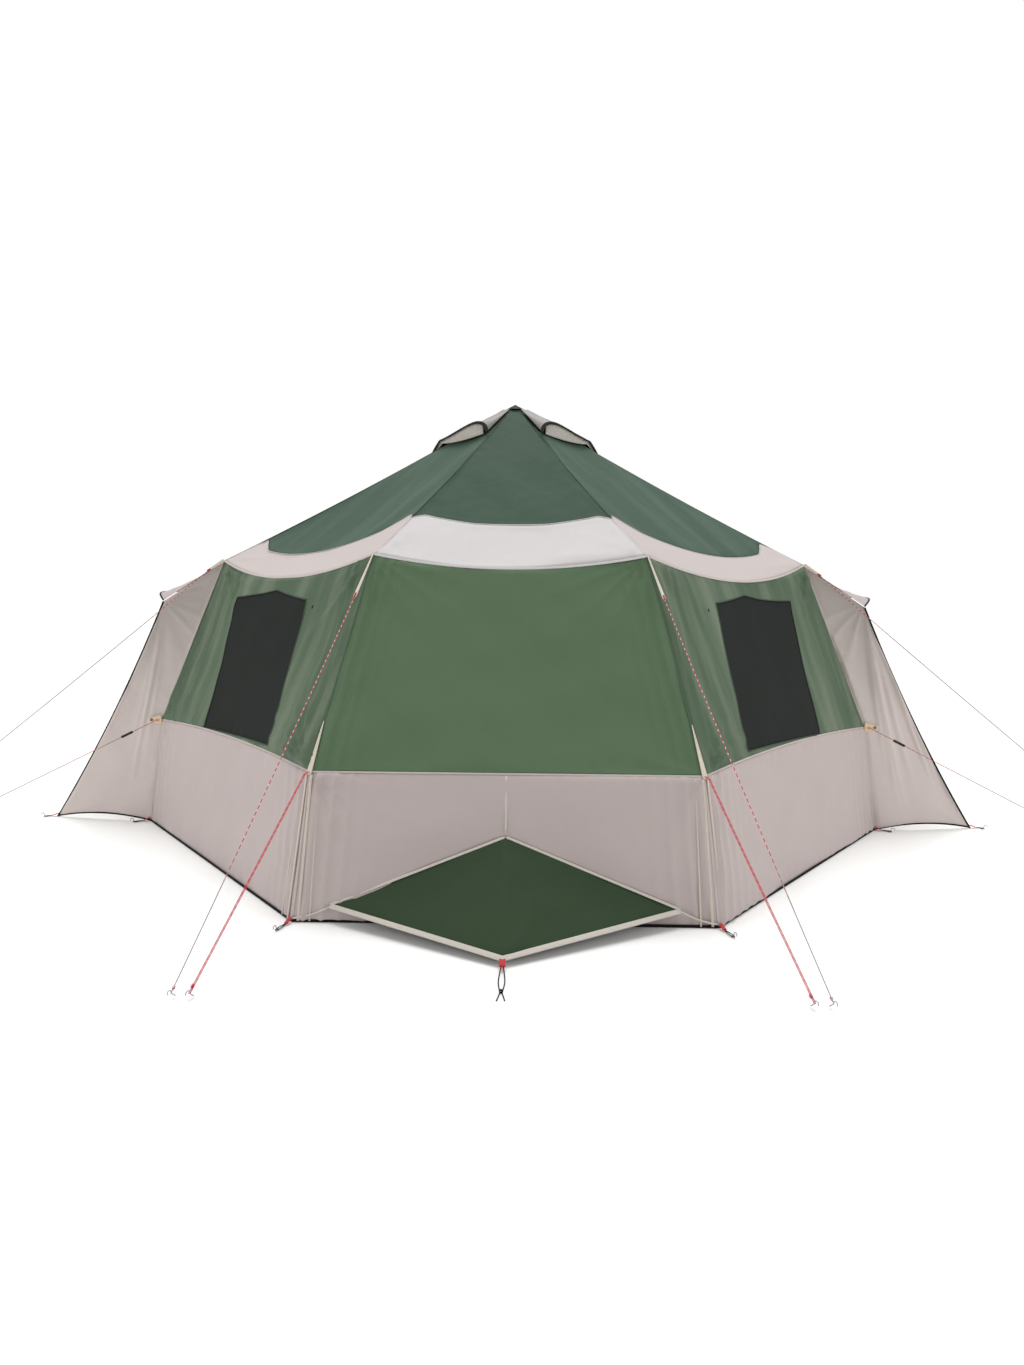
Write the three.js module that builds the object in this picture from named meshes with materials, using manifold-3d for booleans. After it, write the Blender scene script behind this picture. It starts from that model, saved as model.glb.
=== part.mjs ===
// An octagonal family tent on a centre pole, pitched, with a porch at each end.
// Millimetres, +Z up, the ground at z = 0 and the pole on the z axis. The porches
// face +X and -X; the walls with the low vent hoods face -Y (front) and +Y (back).
import * as THREE from 'three';
import { mergeVertices } from 'three/addons/utils/BufferGeometryUtils.js';
import Module from 'manifold-3d';

const wasm = await Module();
wasm.setup();
const { smoothstep } = THREE.MathUtils;

// ---------- Driving dimensions ----------

const floorWidth = 4828; // across the flats of the octagonal floor
const kneeHeight = 685; // seam between the lower band and the upper wall
const eaveHeight = 1740; // at the corners
const apexHeight = 2950;
const kneeInset = { front: 156, side: 102 }; // corner to floor corner, in plan
const eaveInset = { front: 717, side: 530 };
const eaveDrop = { front: 80, diagonal: 130, side: 90 }; // hang of the eave at mid-panel
const roofHollow = 25; // how far the roof dips below a straight line, half-way up

const fabric = 4; // thickness of every fabric solid
const seamGap = 6; // from a seam line to the cloth on each side of it
const stitchGap = 12; // from a wall corner or an eave to what is sewn on outside it

const window = { // in the wall's own plane, from the middle of the knee seam
  frontTop: [-330, 885], peak: [0, 932], sideTop: [470, 880],
  sideBottom: [320, 35], frontBottom: [-500, 55],
};
const windowMesh = { thickness: 2, clearance: 1 };

const door = { width: 900, sill: 60, top: 1440, cornerRadius: 30, clearance: 4 };

const porch = {
  tipReach: 676, // ground corner to wing tip, along X
  tipInward: 70, // and towards the middle of the porch
  topReach: 340, // eave corner to the wing's top corner, along X
  topOutward: 173, // and away from the middle of the porch
  topDrop: 264,
  edgeHollow: 38, // how far the front edge curves in
  hemRise: 35, // how far the bottom hem curves up
  bowReach: 340, // bulge of the canopy's front edge
  bowRise: 100,
  kneeShare: 0.4, // share of a wing's front edge that faces the lower band
};

const vent = {
  topRadius: 100, // where the cap starts, from the tent's axis
  endRadius: 470, // rim at the front and back ridges
  middleRadius: 640, // rim at the middle of the porch side
  lift: 92, // rim of its front and back mouths above the roof
  mouth: { start: 0.38, full: 0.7, end: 0.92 }, // as shares of the way to the ridge
  sideLift: 16, // the rest of the cap above the roof
  clearance: 14, // from a ridge line to the cap's edge
};

const hood = {
  halfWidth: 830, top: 400, sideHeight: 78, reach: 371, tipHeight: 34, standOff: 8,
  end: 0.985, // share of the half width at which the two edges meet
};

const groundsheet = { thickness: 4, inset: 24 };

const pole = { radius: 16, wall: 1.5, joint: 1500, stub: 120, fit: 0.4 };
const poleFoot = { radius: 45, height: 46, base: 10, lip: 5 };
const poleCap = { radius: 30, height: 52, lip: 4 };
const apexCap = { radius: 135, thickness: 3, lift: 6, hole: 4 };
const restGap = 0.4; // between two pieces that bear on each other

const cordRadius = 2;
const guy = {
  peg: { front: { beyond: 677, bearing: 68.4 }, side: { beyond: 1507, bearing: 31.4 } },
  pegEye: 26, knotRadius: 8,
  eaveSag: 12, tabLength: 290, tabRidge: 40, tabWidth: 20, sideTab: 116, kneeStart: 30,
};
const tensioner = { length: 74, width: 20, thickness: 11, bore: 3.6, fromKnee: 170, cornerRadius: 5 };

// ---------- Materials ----------

const finish = (color, roughness, metalness = 0) =>
  new THREE.MeshStandardMaterial({ color, roughness, metalness, side: THREE.DoubleSide });
const materials = {
  roof: finish(0x46604f, 0.6),
  wall: finish(0x567257, 0.65),
  band: finish(0xb9aeab, 0.7),
  vent: finish(0xb4adac, 0.6),
  mesh: finish(0x3a3a3a, 0.9),
  hood: finish(0x3b4f3a, 0.65),
  sheet: finish(0x6d7072, 0.75),
  steel: finish(0x9a9da0, 0.35, 1),
  plastic: finish(0x1d1d1e, 0.5),
  cord: finish(0xb45562, 0.7),
};

const tent = new THREE.Group();

function add(name, material, geometry) {
  const mesh = new THREE.Mesh(geometry, materials[material]);
  mesh.name = name;
  tent.add(mesh);
}

// ---------- Solids ----------

function signedVolume(geometry) {
  const { array } = geometry.attributes.position;
  const index = geometry.index.array;
  const corner = (i) => new THREE.Vector3().fromArray(array, index[i] * 3);
  let volume = 0;
  for (let i = 0; i < index.length; i += 3) {
    volume += corner(i).dot(corner(i + 1).cross(corner(i + 2))) / 6;
  }
  return volume;
}

function meshOf(positions, index) {
  const geometry = new THREE.BufferGeometry();
  geometry.setAttribute('position', new THREE.Float32BufferAttribute(positions, 3));
  geometry.setIndex(index);
  if (signedVolume(geometry) < 0) {
    index.reverse();
    geometry.setIndex(index);
  }
  geometry.computeVertexNormals();
  return geometry;
}

// A sheet of cloth: pointAt(u, v) gives its outer face, and offset leads to its inner face.
function clothSolid(columns, rows, pointAt, offset) {
  const positions = [];
  for (const side of [0, 1]) {
    for (let row = 0; row <= rows; row += 1) {
      for (let column = 0; column <= columns; column += 1) {
        const point = pointAt(column / columns, row / rows).addScaledVector(offset, side);
        positions.push(point.x, point.y, point.z);
      }
    }
  }
  const at = (side, row, column) => (side * (rows + 1) + row) * (columns + 1) + column;
  const index = [];
  const quad = (a, b, c, d) => index.push(a, b, c, a, c, d);
  for (let row = 0; row < rows; row += 1) {
    for (let column = 0; column < columns; column += 1) {
      const [right, up] = [column + 1, row + 1];
      quad(at(0, row, column), at(0, row, right), at(0, up, right), at(0, up, column));
      index.push(at(1, row, column), at(1, up, right), at(1, row, right));
      index.push(at(1, row, column), at(1, up, column), at(1, up, right));
    }
  }
  for (let column = 0; column < columns; column += 1) {
    const right = column + 1;
    quad(at(0, 0, right), at(0, 0, column), at(1, 0, column), at(1, 0, right));
    quad(at(0, rows, column), at(0, rows, right), at(1, rows, right), at(1, rows, column));
  }
  for (let row = 0; row < rows; row += 1) {
    const up = row + 1;
    quad(at(0, row, 0), at(0, up, 0), at(1, up, 0), at(1, row, 0));
    quad(at(0, up, columns), at(0, row, columns), at(1, row, columns), at(1, up, columns));
  }
  return meshOf(positions, index);
}

// The outline, in the plane of uAxis and vAxis at origin, thickened by depth both ways.
function prism(outline, origin, uAxis, vAxis, depth) {
  const shape = outline instanceof THREE.Shape
    ? outline
    : new THREE.Shape(outline.map(([u, v]) => new THREE.Vector2(u, v)));
  const geometry = new THREE.ExtrudeGeometry(shape, {
    depth: 2 * depth, bevelEnabled: false, curveSegments: 3,
  });
  geometry.translate(0, 0, -depth);
  const normal = uAxis.clone().cross(vAxis);
  const frame = new THREE.Matrix4().makeBasis(uAxis, vAxis, normal).setPosition(origin);
  return geometry.applyMatrix4(frame);
}

function manifoldOf(geometry) {
  const bare = new THREE.BufferGeometry();
  bare.setAttribute('position', geometry.attributes.position);
  bare.setIndex(geometry.index);
  const merged = mergeVertices(bare, 1e-3);
  const corners = merged.index.array;
  const triangles = [];
  for (let i = 0; i < corners.length; i += 3) {
    const [a, b, c] = corners.slice(i, i + 3);
    if (a !== b && b !== c && c !== a) triangles.push(a, b, c);
  }
  return new wasm.Manifold(new wasm.Mesh({
    numProp: 3,
    vertProperties: new Float32Array(merged.attributes.position.array),
    triVerts: new Uint32Array(triangles),
  }));
}

function geometryOf(manifold) {
  const { vertProperties, triVerts } = manifold.getMesh();
  return meshOf(Array.from(vertProperties), Array.from(triVerts));
}

function cut(geometry, tool) {
  return geometryOf(manifoldOf(geometry).subtract(manifoldOf(tool)));
}

function common(geometry, tool) {
  return geometryOf(manifoldOf(geometry).intersect(manifoldOf(tool)));
}

function join(first, ...others) {
  const whole = others.reduce((sum, other) => sum.add(manifoldOf(other)), manifoldOf(first));
  return geometryOf(whole);
}

function turned(profile, segments = 20) {
  const points = profile.map(([radius, height]) => new THREE.Vector2(radius, height));
  return new THREE.LatheGeometry([...points, points[0]], segments).rotateX(Math.PI / 2);
}

const rodSides = 8;

function rod(path, radius, steps) {
  const turn = (Math.PI * 2) / rodSides;
  const section = new THREE.Shape(Array.from({ length: rodSides }, (_, i) => (
    new THREE.Vector2(radius * Math.cos(i * turn), radius * Math.sin(i * turn))
  )));
  return new THREE.ExtrudeGeometry(section, { extrudePath: path, steps });
}

function roundedRectangle(width, height, radius, low = [-width / 2, -height / 2]) {
  const [x, y] = low;
  const shape = new THREE.Shape();
  shape.moveTo(x + radius, y);
  shape.lineTo(x + width - radius, y).absarc(x + width - radius, y + radius, radius, -Math.PI / 2, 0);
  shape.absarc(x + width - radius, y + height - radius, radius, 0, Math.PI / 2);
  shape.absarc(x + radius, y + height - radius, radius, Math.PI / 2, Math.PI);
  shape.absarc(x + radius, y + radius, radius, Math.PI, Math.PI * 1.5);
  return shape;
}

// ---------- The tent's lines ----------

const facings = [
  'right', 'back_right', 'back', 'back_left', 'left', 'front_left', 'front', 'front_right',
];
const degree = Math.PI / 180;
const floorRadius = floorWidth / 2 / Math.cos(22.5 * degree);
const noInset = { front: 0, side: 0 };
const apex = new THREE.Vector3(0, 0, apexHeight);

// Corner n lies between facing n - 1 and facing n; the porches are at the side corners.
const cornerAngle = (n) => (45 * n - 22.5) * degree;
const cornerKind = (n) => ([0, 1, 4, 5].includes(n % 8) ? 'side' : 'front');
const panelKind = (facing) => ['side', 'diagonal', 'front', 'diagonal'][facing % 4];

const acrossPorch = (n) => Math.sign(Math.sin(cornerAngle(n)));
const alongPorch = (n) => Math.sign(Math.cos(cornerAngle(n)));

function atAngle(angle, radius, height) {
  return new THREE.Vector3(radius * Math.cos(angle), radius * Math.sin(angle), height);
}

function corner(n, inset, height) {
  return atAngle(cornerAngle(n), floorRadius - inset[cornerKind(n)], height);
}

const floorCorner = (n) => corner(n, noInset, 0);
const kneeCorner = (n) => corner(n, kneeInset, kneeHeight);
const eaveCorner = (n) => corner(n, eaveInset, eaveHeight);
const outward = (facing) => atAngle(facing * 45 * degree, 1, 0);

// A point at the share u of the way between two points, clear of a seam at both ends.
function between(start, end, u, gap = seamGap) {
  const share = gap / start.distanceTo(end);
  return start.clone().lerp(end, share + u * (1 - 2 * share));
}

const middle = (cornerAt, facing) => cornerAt(facing).lerp(cornerAt(facing + 1), 0.5);

function downTheWall(facing) {
  return middle(kneeCorner, facing).sub(middle(eaveCorner, facing)).normalize();
}

function eavePoint(facing, u) {
  const drop = eaveDrop[panelKind(facing)] * 4 * u * (1 - u);
  const point = between(eaveCorner(facing), eaveCorner(facing + 1), u);
  return point.addScaledVector(downTheWall(facing), drop);
}

const kneePoint = (facing, u) => between(kneeCorner(facing), kneeCorner(facing + 1), u);
const floorPoint = (facing, u) => between(floorCorner(facing), floorCorner(facing + 1), u);

// ---------- Roof ----------

const roofTop = 70; // radius of the small ring where the panels meet under the apex cap

function roofPoint(facing, u, t) {
  const left = apex.clone().lerp(eaveCorner(facing), t);
  const right = apex.clone().lerp(eaveCorner(facing + 1), t);
  const point = between(left, right, u);
  const drop = eaveDrop[panelKind(facing)] * 4 * u * (1 - u) * t * t;
  point.addScaledVector(downTheWall(facing), drop);
  point.z -= roofHollow * 4 * t * (1 - t);
  return point;
}

function roofPanel(facing) {
  const start = roofTop / eaveCorner(facing).setZ(0).length();
  const below = new THREE.Vector3(0, 0, -fabric);
  return clothSolid(8, 6, (u, v) => roofPoint(facing, u, start + v * (1 - start)), below);
}

// Bearings are counted from the nearer end of the x axis.
function pegPoint(n) {
  const { beyond, bearing } = guy.peg[cornerKind(n)];
  const point = atAngle(bearing * degree, floorRadius + beyond, guy.pegEye);
  return point.multiply(new THREE.Vector3(alongPorch(n), acrossPorch(n), 1));
}

// A front corner's guy line is held by the end of a long tab, a side corner's by the canopy.
function eaveGuyStart(n) {
  const start = eaveCorner(n);
  if (cornerKind(n) === 'front') {
    const along = pegPoint(n).sub(start).normalize();
    return start.addScaledVector(along, guy.tabLength + restGap + cordRadius);
  }
  const edge = wingTopCorner(n).sub(eaveCorner(n)).normalize();
  start.addScaledVector(edge, guy.sideTab);
  start.y += acrossPorch(n) * stitchGap;
  return start;
}

// The tab of corner n, joined to the roof panel of the given facing along its ridge.
function eaveTab(n, facing) {
  const start = eaveCorner(n);
  const ridge = apex.clone().sub(start).normalize();
  const along = pegPoint(n).sub(start).normalize();
  const uAxis = ridge.clone().negate();
  const normal = uAxis.clone().cross(along).normalize();
  const vAxis = normal.clone().cross(uAxis);
  const into = middle(eaveCorner, facing).sub(start).normalize();
  const origin = start.addScaledVector(into, seamGap + 2 * fabric);
  const [run, fall] = [along.dot(uAxis), along.dot(vAxis)];
  const side = Math.sign(fall);
  const half = (guy.tabWidth / 2) * side;
  const outline = [
    [-guy.tabRidge, (fabric / 3) * side], [0, (-fabric / 2) * side],
    [run * guy.tabLength + fall * half, fall * guy.tabLength - run * half],
    [run * guy.tabLength - fall * half, fall * guy.tabLength + run * half],
    [run * 2 * seamGap, fall * 2 * seamGap], [0, (fabric / 3) * side],
  ];
  return prism(outline, origin, uAxis, vAxis, fabric / 2);
}

facings.forEach((name, facing) => {
  let panel = roofPanel(facing);
  if (panelKind(facing) === 'front') {
    panel = join(panel, eaveTab(facing, facing), eaveTab(facing + 1, facing));
  }
  add(`roof_${name}`, 'roof', panel);
});

// ---------- Walls ----------

function upperWallPoint(facing, u, v) {
  return between(kneePoint(facing, u), eavePoint(facing, u), v);
}

function lowerWallPoint(facing, u, v) {
  const foot = floorPoint(facing, u);
  const top = kneePoint(facing, u);
  return foot.lerp(top, v * (1 - seamGap / foot.distanceTo(top)));
}

function wallSolids(facing) {
  const inward = outward(facing).multiplyScalar(-fabric);
  return {
    lower: clothSolid(4, 1, (u, v) => lowerWallPoint(facing, u, v), inward),
    upper: clothSolid(8, 3, (u, v) => upperWallPoint(facing, u, v), inward),
  };
}

// The wall's own plane on a diagonal, u running from the front corner to the side corner.
function windowFrame(facing) {
  const sideFirst = cornerKind(facing) === 'side';
  const [side, front] = sideFirst ? [facing, facing + 1] : [facing + 1, facing];
  const uAxis = kneeCorner(side).sub(kneeCorner(front)).normalize();
  const origin = middle(kneeCorner, facing);
  const vAxis = middle(eaveCorner, facing).sub(origin);
  vAxis.addScaledVector(uAxis, -vAxis.dot(uAxis)).normalize();
  return { origin, uAxis, vAxis };
}

function insetOutline(outline, distance) {
  const centre = outline.reduce(([a, b], [u, v]) => [a + u, b + v], [0, 0])
    .map((sum) => sum / outline.length);
  return outline.map(([u, v]) => {
    const [du, dv] = [u - centre[0], v - centre[1]];
    const reach = Math.hypot(du, dv);
    return [centre[0] + du * (1 - distance / reach), centre[1] + dv * (1 - distance / reach)];
  });
}

function doorOutline(clearance) {
  const width = door.width - 2 * clearance;
  const height = door.top - door.sill - 2 * clearance;
  const low = [-width / 2, door.sill + clearance];
  return roundedRectangle(width, height, door.cornerRadius, low);
}

function doorPrism(side, clearance) {
  const origin = new THREE.Vector3(side * (floorWidth / 2), 0, 0);
  const uAxis = new THREE.Vector3(0, 1, 0);
  const vAxis = new THREE.Vector3(0, 0, 1);
  return prism(doorOutline(clearance), origin, uAxis, vAxis, eaveInset.side + 200);
}

function doorLeaf(facing) {
  const inward = outward(facing).multiplyScalar(-fabric);
  const rows = { lower: 1, upper: 3 };
  const total = rows.lower + rows.upper;
  const whole = clothSolid(8, total, (u, v) => {
    const row = v * total;
    const knee = kneePoint(facing, u);
    return row <= rows.lower
      ? floorPoint(facing, u).lerp(knee, row / rows.lower)
      : knee.lerp(eavePoint(facing, u), (row - rows.lower) / rows.upper);
  }, inward);
  const side = Math.sign(outward(facing).x);
  return common(whole, doorPrism(side, door.clearance));
}

facings.forEach((name, facing) => {
  const { lower, upper } = wallSolids(facing);
  const kind = panelKind(facing);
  if (kind === 'side') {
    const opening = doorPrism(Math.sign(outward(facing).x), 0);
    add(`lower_wall_${name}`, 'band', cut(lower, opening));
    add(`upper_wall_${name}`, 'wall', cut(upper, opening));
    add(`door_${name}`, 'wall', doorLeaf(facing));
    return;
  }
  add(`lower_wall_${name}`, 'band', lower);
  if (kind === 'front') {
    add(`upper_wall_${name}`, 'wall', upper);
    return;
  }
  const { origin, uAxis, vAxis } = windowFrame(facing);
  const outline = Object.values(window);
  const depth = floorWidth / 10;
  add(`upper_wall_${name}`, 'wall', cut(upper, prism(outline, origin, uAxis, vAxis, depth)));
  const thin = outward(facing).multiplyScalar(-windowMesh.thickness);
  const netting = clothSolid(8, 3, (u, v) => upperWallPoint(facing, u, v), thin);
  const inner = insetOutline(outline, 2 * windowMesh.clearance);
  add(`window_mesh_${name}`, 'mesh', common(netting, prism(inner, origin, uAxis, vAxis, depth)));
});

// ---------- Porches ----------

function wingTip(n) {
  const { x, y } = floorCorner(n);
  return new THREE.Vector3(
    x + alongPorch(n) * porch.tipReach, y - acrossPorch(n) * porch.tipInward, 0,
  );
}

function wingTopCorner(n) {
  const { x, y, z } = eaveCorner(n);
  return new THREE.Vector3(
    x + alongPorch(n) * porch.topReach, y + acrossPorch(n) * porch.topOutward, z - porch.topDrop,
  );
}

// A wing wall: u runs from the tent's corner seam to the free front edge.
function wingPoint(n, u, v) {
  const { kneeShare } = porch;
  const seam = v <= kneeShare
    ? floorCorner(n).lerp(kneeCorner(n), v / kneeShare)
    : kneeCorner(n).lerp(eaveCorner(n), (v - kneeShare) / (1 - kneeShare));
  const edge = wingTip(n).lerp(wingTopCorner(n), v);
  edge.x -= alongPorch(n) * porch.edgeHollow * 4 * v * (1 - v);
  const away = edge.clone().sub(seam);
  const start = seam.addScaledVector(away.clone().normalize(), 2 * stitchGap);
  const point = start.lerp(edge, u);
  point.z += porch.hemRise * 4 * u * (1 - u) * (1 - v) ** 3;
  const dropTop = v > kneeShare ? ((v - kneeShare) / (1 - kneeShare)) ** 3 : 0;
  point.z -= (stitchGap + fabric) * dropTop;
  return point;
}

function wing(n) {
  const inward = new THREE.Vector3(0, -acrossPorch(n) * fabric, 0);
  return clothSolid(4, 10, (u, v) => wingPoint(n, u, v), inward);
}

// The canopy from the eave (v = 0) to its bowed front edge, u running across the porch.
function canopyPoint(facing, u, v) {
  const [first, last] = [facing, facing + 1];
  const side = alongPorch(first);
  const bulge = 4 * u * (1 - u);
  const inner = eaveCorner(first).lerp(eaveCorner(last), u);
  inner.addScaledVector(downTheWall(facing), eaveDrop.side * bulge);
  const outer = wingTopCorner(first).lerp(wingTopCorner(last), u);
  outer.x += side * porch.bowReach * bulge;
  outer.z += porch.bowRise * bulge;
  const start = inner.addScaledVector(outer.clone().sub(inner).normalize(), stitchGap);
  return start.lerp(outer, v);
}

for (const facing of [0, 4]) {
  const name = facings[facing];
  const below = new THREE.Vector3(0, 0, -fabric);
  add(`canopy_${name}`, 'band', clothSolid(10, 2, (u, v) => canopyPoint(facing, u, v), below));
  for (const n of [facing, facing + 1]) {
    const end = acrossPorch(n) < 0 ? 'front' : 'back';
    add(`wing_${end}_${name}`, 'band', wing(n));
  }
}

// ---------- Roof vents ----------

// Height of the straight-lined roof at an angle round the pole, measured from +X.
function roofHeight(angle, radius) {
  const facing = Math.round(angle / (45 * degree));
  const [start, end] = [eaveCorner((facing + 8) % 8), eaveCorner((facing + 9) % 8)];
  const direction = atAngle(angle, 1, 0);
  const edge = end.clone().sub(start);
  const reach = (start.x * edge.y - start.y * edge.x)
    / (direction.x * edge.y - direction.y * edge.x);
  return apexHeight - (apexHeight - eaveHeight) * (radius / reach);
}

function ventPoint(side, u, v) {
  const half = 67.5 * degree - vent.clearance / vent.endRadius;
  const swing = (2 * u - 1) * half;
  const share = Math.abs(2 * u - 1);
  const rim = vent.middleRadius + (vent.endRadius - vent.middleRadius) * share ** 1.2;
  const radius = vent.topRadius + (rim - vent.topRadius) * v;
  const { start, full, end } = vent.mouth;
  const rise = smoothstep(share, start, full) * Math.min(1, (1 - share) / (1 - end));
  const lift = vent.sideLift + vent.lift * rise * v ** 1.3;
  const point = atAngle(swing, radius, roofHeight(swing, radius) + lift);
  point.x *= side;
  return point;
}

for (const [name, side] of [['right', 1], ['left', -1]]) {
  const up = new THREE.Vector3(0, 0, fabric);
  add(`vent_cap_${name}`, 'vent', clothSolid(24, 4, (u, v) => ventPoint(side, u, v), up));
}

// ---------- Low vent hoods ----------

function hoodPoint(side, u, v) {
  const wallAt = (x, z) => {
    const knee = kneeCorner(6);
    const floor = floorCorner(6);
    const share = z / kneeHeight;
    return new THREE.Vector3(x, -floor.y + (floor.y - knee.y) * share + hood.standOff, z);
  };
  const across = 2 * u - 1;
  const share = Math.abs(across) * hood.end;
  const x = across * hood.end * hood.halfWidth;
  const top = wallAt(x, hood.top + (hood.sideHeight - hood.top) * share);
  const corner = wallAt(x, hood.sideHeight);
  const tip = new THREE.Vector3(x, wallAt(0, 0).y - hood.standOff + hood.reach, hood.tipHeight);
  const bottom = tip.lerp(corner, share);
  const point = top.lerp(bottom, v);
  point.x = x;
  point.y *= side;
  return point;
}

for (const [name, side] of [['front', -1], ['back', 1]]) {
  const above = new THREE.Vector3(0, side, 1).setLength(fabric);
  add(`hood_${name}`, 'hood', clothSolid(8, 2, (u, v) => hoodPoint(side, u, v), above));
}

// ---------- Groundsheet, pole and apex ----------

const floorShape = new THREE.Shape(facings.map((_, n) => {
  const { x, y } = corner(n, { front: groundsheet.inset, side: groundsheet.inset }, 0);
  return new THREE.Vector2(x, y);
}));
add('groundsheet', 'sheet', new THREE.ExtrudeGeometry(floorShape, {
  depth: groundsheet.thickness, bevelEnabled: false,
}));

const footBottom = groundsheet.thickness + restGap;
const poleBottom = footBottom + poleFoot.base + restGap;
const poleTop = apexHeight - apexCap.thickness - apexCap.lift - poleCap.height;
const socket = pole.radius + pole.fit;
const bore = pole.radius - pole.wall;

add('pole_foot', 'plastic', turned([
  [0, footBottom], [poleFoot.radius, footBottom],
  [poleFoot.radius, footBottom + poleFoot.base],
  [socket + poleFoot.lip, footBottom + poleFoot.height], [socket, footBottom + poleFoot.height],
  [socket, footBottom + poleFoot.base], [0, footBottom + poleFoot.base],
]));
add('pole_lower', 'steel', turned([
  [bore, poleBottom], [pole.radius, poleBottom], [pole.radius, pole.joint], [bore, pole.joint],
]));
const stubRadius = bore - pole.fit;
add('pole_upper', 'steel', turned([
  [stubRadius - pole.wall, pole.joint - pole.stub], [stubRadius, pole.joint - pole.stub],
  [stubRadius, pole.joint + restGap], [pole.radius, pole.joint + restGap],
  [pole.radius, poleTop], [stubRadius - pole.wall, poleTop],
]));
add('pole_cap', 'plastic', turned([
  [0, poleTop + restGap], [pole.radius + poleCap.lip, poleTop + restGap],
  [poleCap.radius, poleTop + poleCap.height * 0.25],
  [poleCap.radius * 0.9, poleTop + poleCap.height * 0.5],
  [poleCap.radius * 0.5, poleTop + poleCap.height * 0.72], [0, poleTop + poleCap.height * 0.78],
]));

// A reinforcing cone of dark cloth over the ring where the roof panels meet.
function apexHeightAt(radius) {
  const steepest = Math.min(...facings.map((_, n) => eaveCorner(n).setZ(0).length()));
  return apexHeight - (apexHeight - eaveHeight) * (radius / steepest) + apexCap.lift;
}
const capReach = Math.min(apexCap.radius, vent.topRadius - vent.clearance);
const coneTop = apexHeightAt(apexCap.hole);
add('apex_cap', 'roof', turned([
  [0, coneTop], [apexCap.hole, coneTop], [capReach, apexHeightAt(capReach)],
  [capReach, apexHeightAt(capReach) + apexCap.thickness],
  [apexCap.hole, coneTop + apexCap.thickness], [0, coneTop + apexCap.thickness],
]));

// ---------- Guy lines ----------

function kneeGuyStart(n) {
  return kneeCorner(n).add(atAngle(cornerAngle(n), guy.kneeStart, 0));
}

function sagging(start, end, sag) {
  const low = start.clone().lerp(end, 0.5);
  low.z -= 2 * sag;
  return new THREE.QuadraticBezierCurve3(start, low, end);
}

function guyLines(n) {
  const peg = pegPoint(n);
  const high = rod(sagging(eaveGuyStart(n), peg, guy.eaveSag), cordRadius, 6);
  const low = rod(new THREE.LineCurve3(kneeGuyStart(n), peg), cordRadius, 1);
  const knot = new THREE.SphereGeometry(guy.knotRadius, 8, 4).translate(peg.x, peg.y, peg.z);
  return join(knot, high, low);
}

function tensionerSolid(n) {
  const start = kneeGuyStart(n);
  const along = pegPoint(n).sub(start).normalize();
  const across = new THREE.Vector3(0, 0, 1).cross(along).normalize();
  const upward = along.clone().cross(across);
  const centre = start.addScaledVector(along, guy.kneeStart + tensioner.fromKnee);
  const { length, width, thickness, cornerRadius } = tensioner;
  const body = prism(
    roundedRectangle(length, width, cornerRadius), centre, along, across, thickness / 2,
  );
  const channel = new THREE.CylinderGeometry(tensioner.bore, tensioner.bore, 2 * length, 10);
  channel.rotateZ(Math.PI / 2);
  const frame = new THREE.Matrix4().makeBasis(along, across, upward).setPosition(centre);
  return cut(body, channel.applyMatrix4(frame));
}

const cornerNames = {
  0: 'side_front_right', 1: 'side_back_right', 2: 'back_right', 3: 'back_left',
  4: 'side_back_left', 5: 'side_front_left', 6: 'front_left', 7: 'front_right',
};
Object.entries(cornerNames).forEach(([n, name]) => {
  add(`guys_${name}`, 'cord', guyLines(Number(n)));
  if (cornerKind(Number(n)) === 'side') {
    add(`tensioner_${name.replace('side_', '')}`, 'plastic', tensionerSolid(Number(n)));
  }
});

export default tent;
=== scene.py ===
"""An octagonal tent on a centre pole, pitched, with a porch at each end.

Metres, +Z up, the ground at z = 0. The cloth, seams, cords and fittings are built around the
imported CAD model, which is loaded as a fixed frame. The porches face +X and -X; the front is -Y.
"""
import math
from functools import partial

import bmesh
import bpy
import numpy as np
from mathutils import Matrix, Vector


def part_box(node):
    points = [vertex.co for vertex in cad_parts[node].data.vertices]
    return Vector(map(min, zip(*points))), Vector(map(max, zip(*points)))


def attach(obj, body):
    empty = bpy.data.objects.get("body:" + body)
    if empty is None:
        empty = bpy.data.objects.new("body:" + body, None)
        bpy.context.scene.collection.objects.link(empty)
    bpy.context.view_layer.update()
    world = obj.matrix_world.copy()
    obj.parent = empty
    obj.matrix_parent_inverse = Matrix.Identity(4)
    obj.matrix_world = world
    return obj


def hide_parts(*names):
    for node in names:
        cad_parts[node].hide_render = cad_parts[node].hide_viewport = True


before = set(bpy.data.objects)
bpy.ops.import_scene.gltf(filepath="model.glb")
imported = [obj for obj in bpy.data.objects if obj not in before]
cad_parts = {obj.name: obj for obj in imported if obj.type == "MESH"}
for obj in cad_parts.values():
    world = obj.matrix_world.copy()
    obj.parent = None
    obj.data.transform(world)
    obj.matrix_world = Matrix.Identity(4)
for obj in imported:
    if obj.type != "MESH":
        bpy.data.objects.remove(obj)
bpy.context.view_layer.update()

# ---------- Driving dimensions, as in the CAD source, in metres ----------

FLOOR_WIDTH = 4.828
KNEE_HEIGHT = 0.685
EAVE_HEIGHT = 1.740
APEX_HEIGHT = 2.950
KNEE_INSET = {"front": 0.156, "side": 0.102}
EAVE_INSET = {"front": 0.717, "side": 0.530}
EAVE_DROP = {"front": 0.080, "diagonal": 0.130, "side": 0.090}
ROOF_HOLLOW = 0.025
KNEE_BOW = {"front": 0.0, "diagonal": 0.036, "side": 0.0}  # the pale band pulls its top edge up

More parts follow.
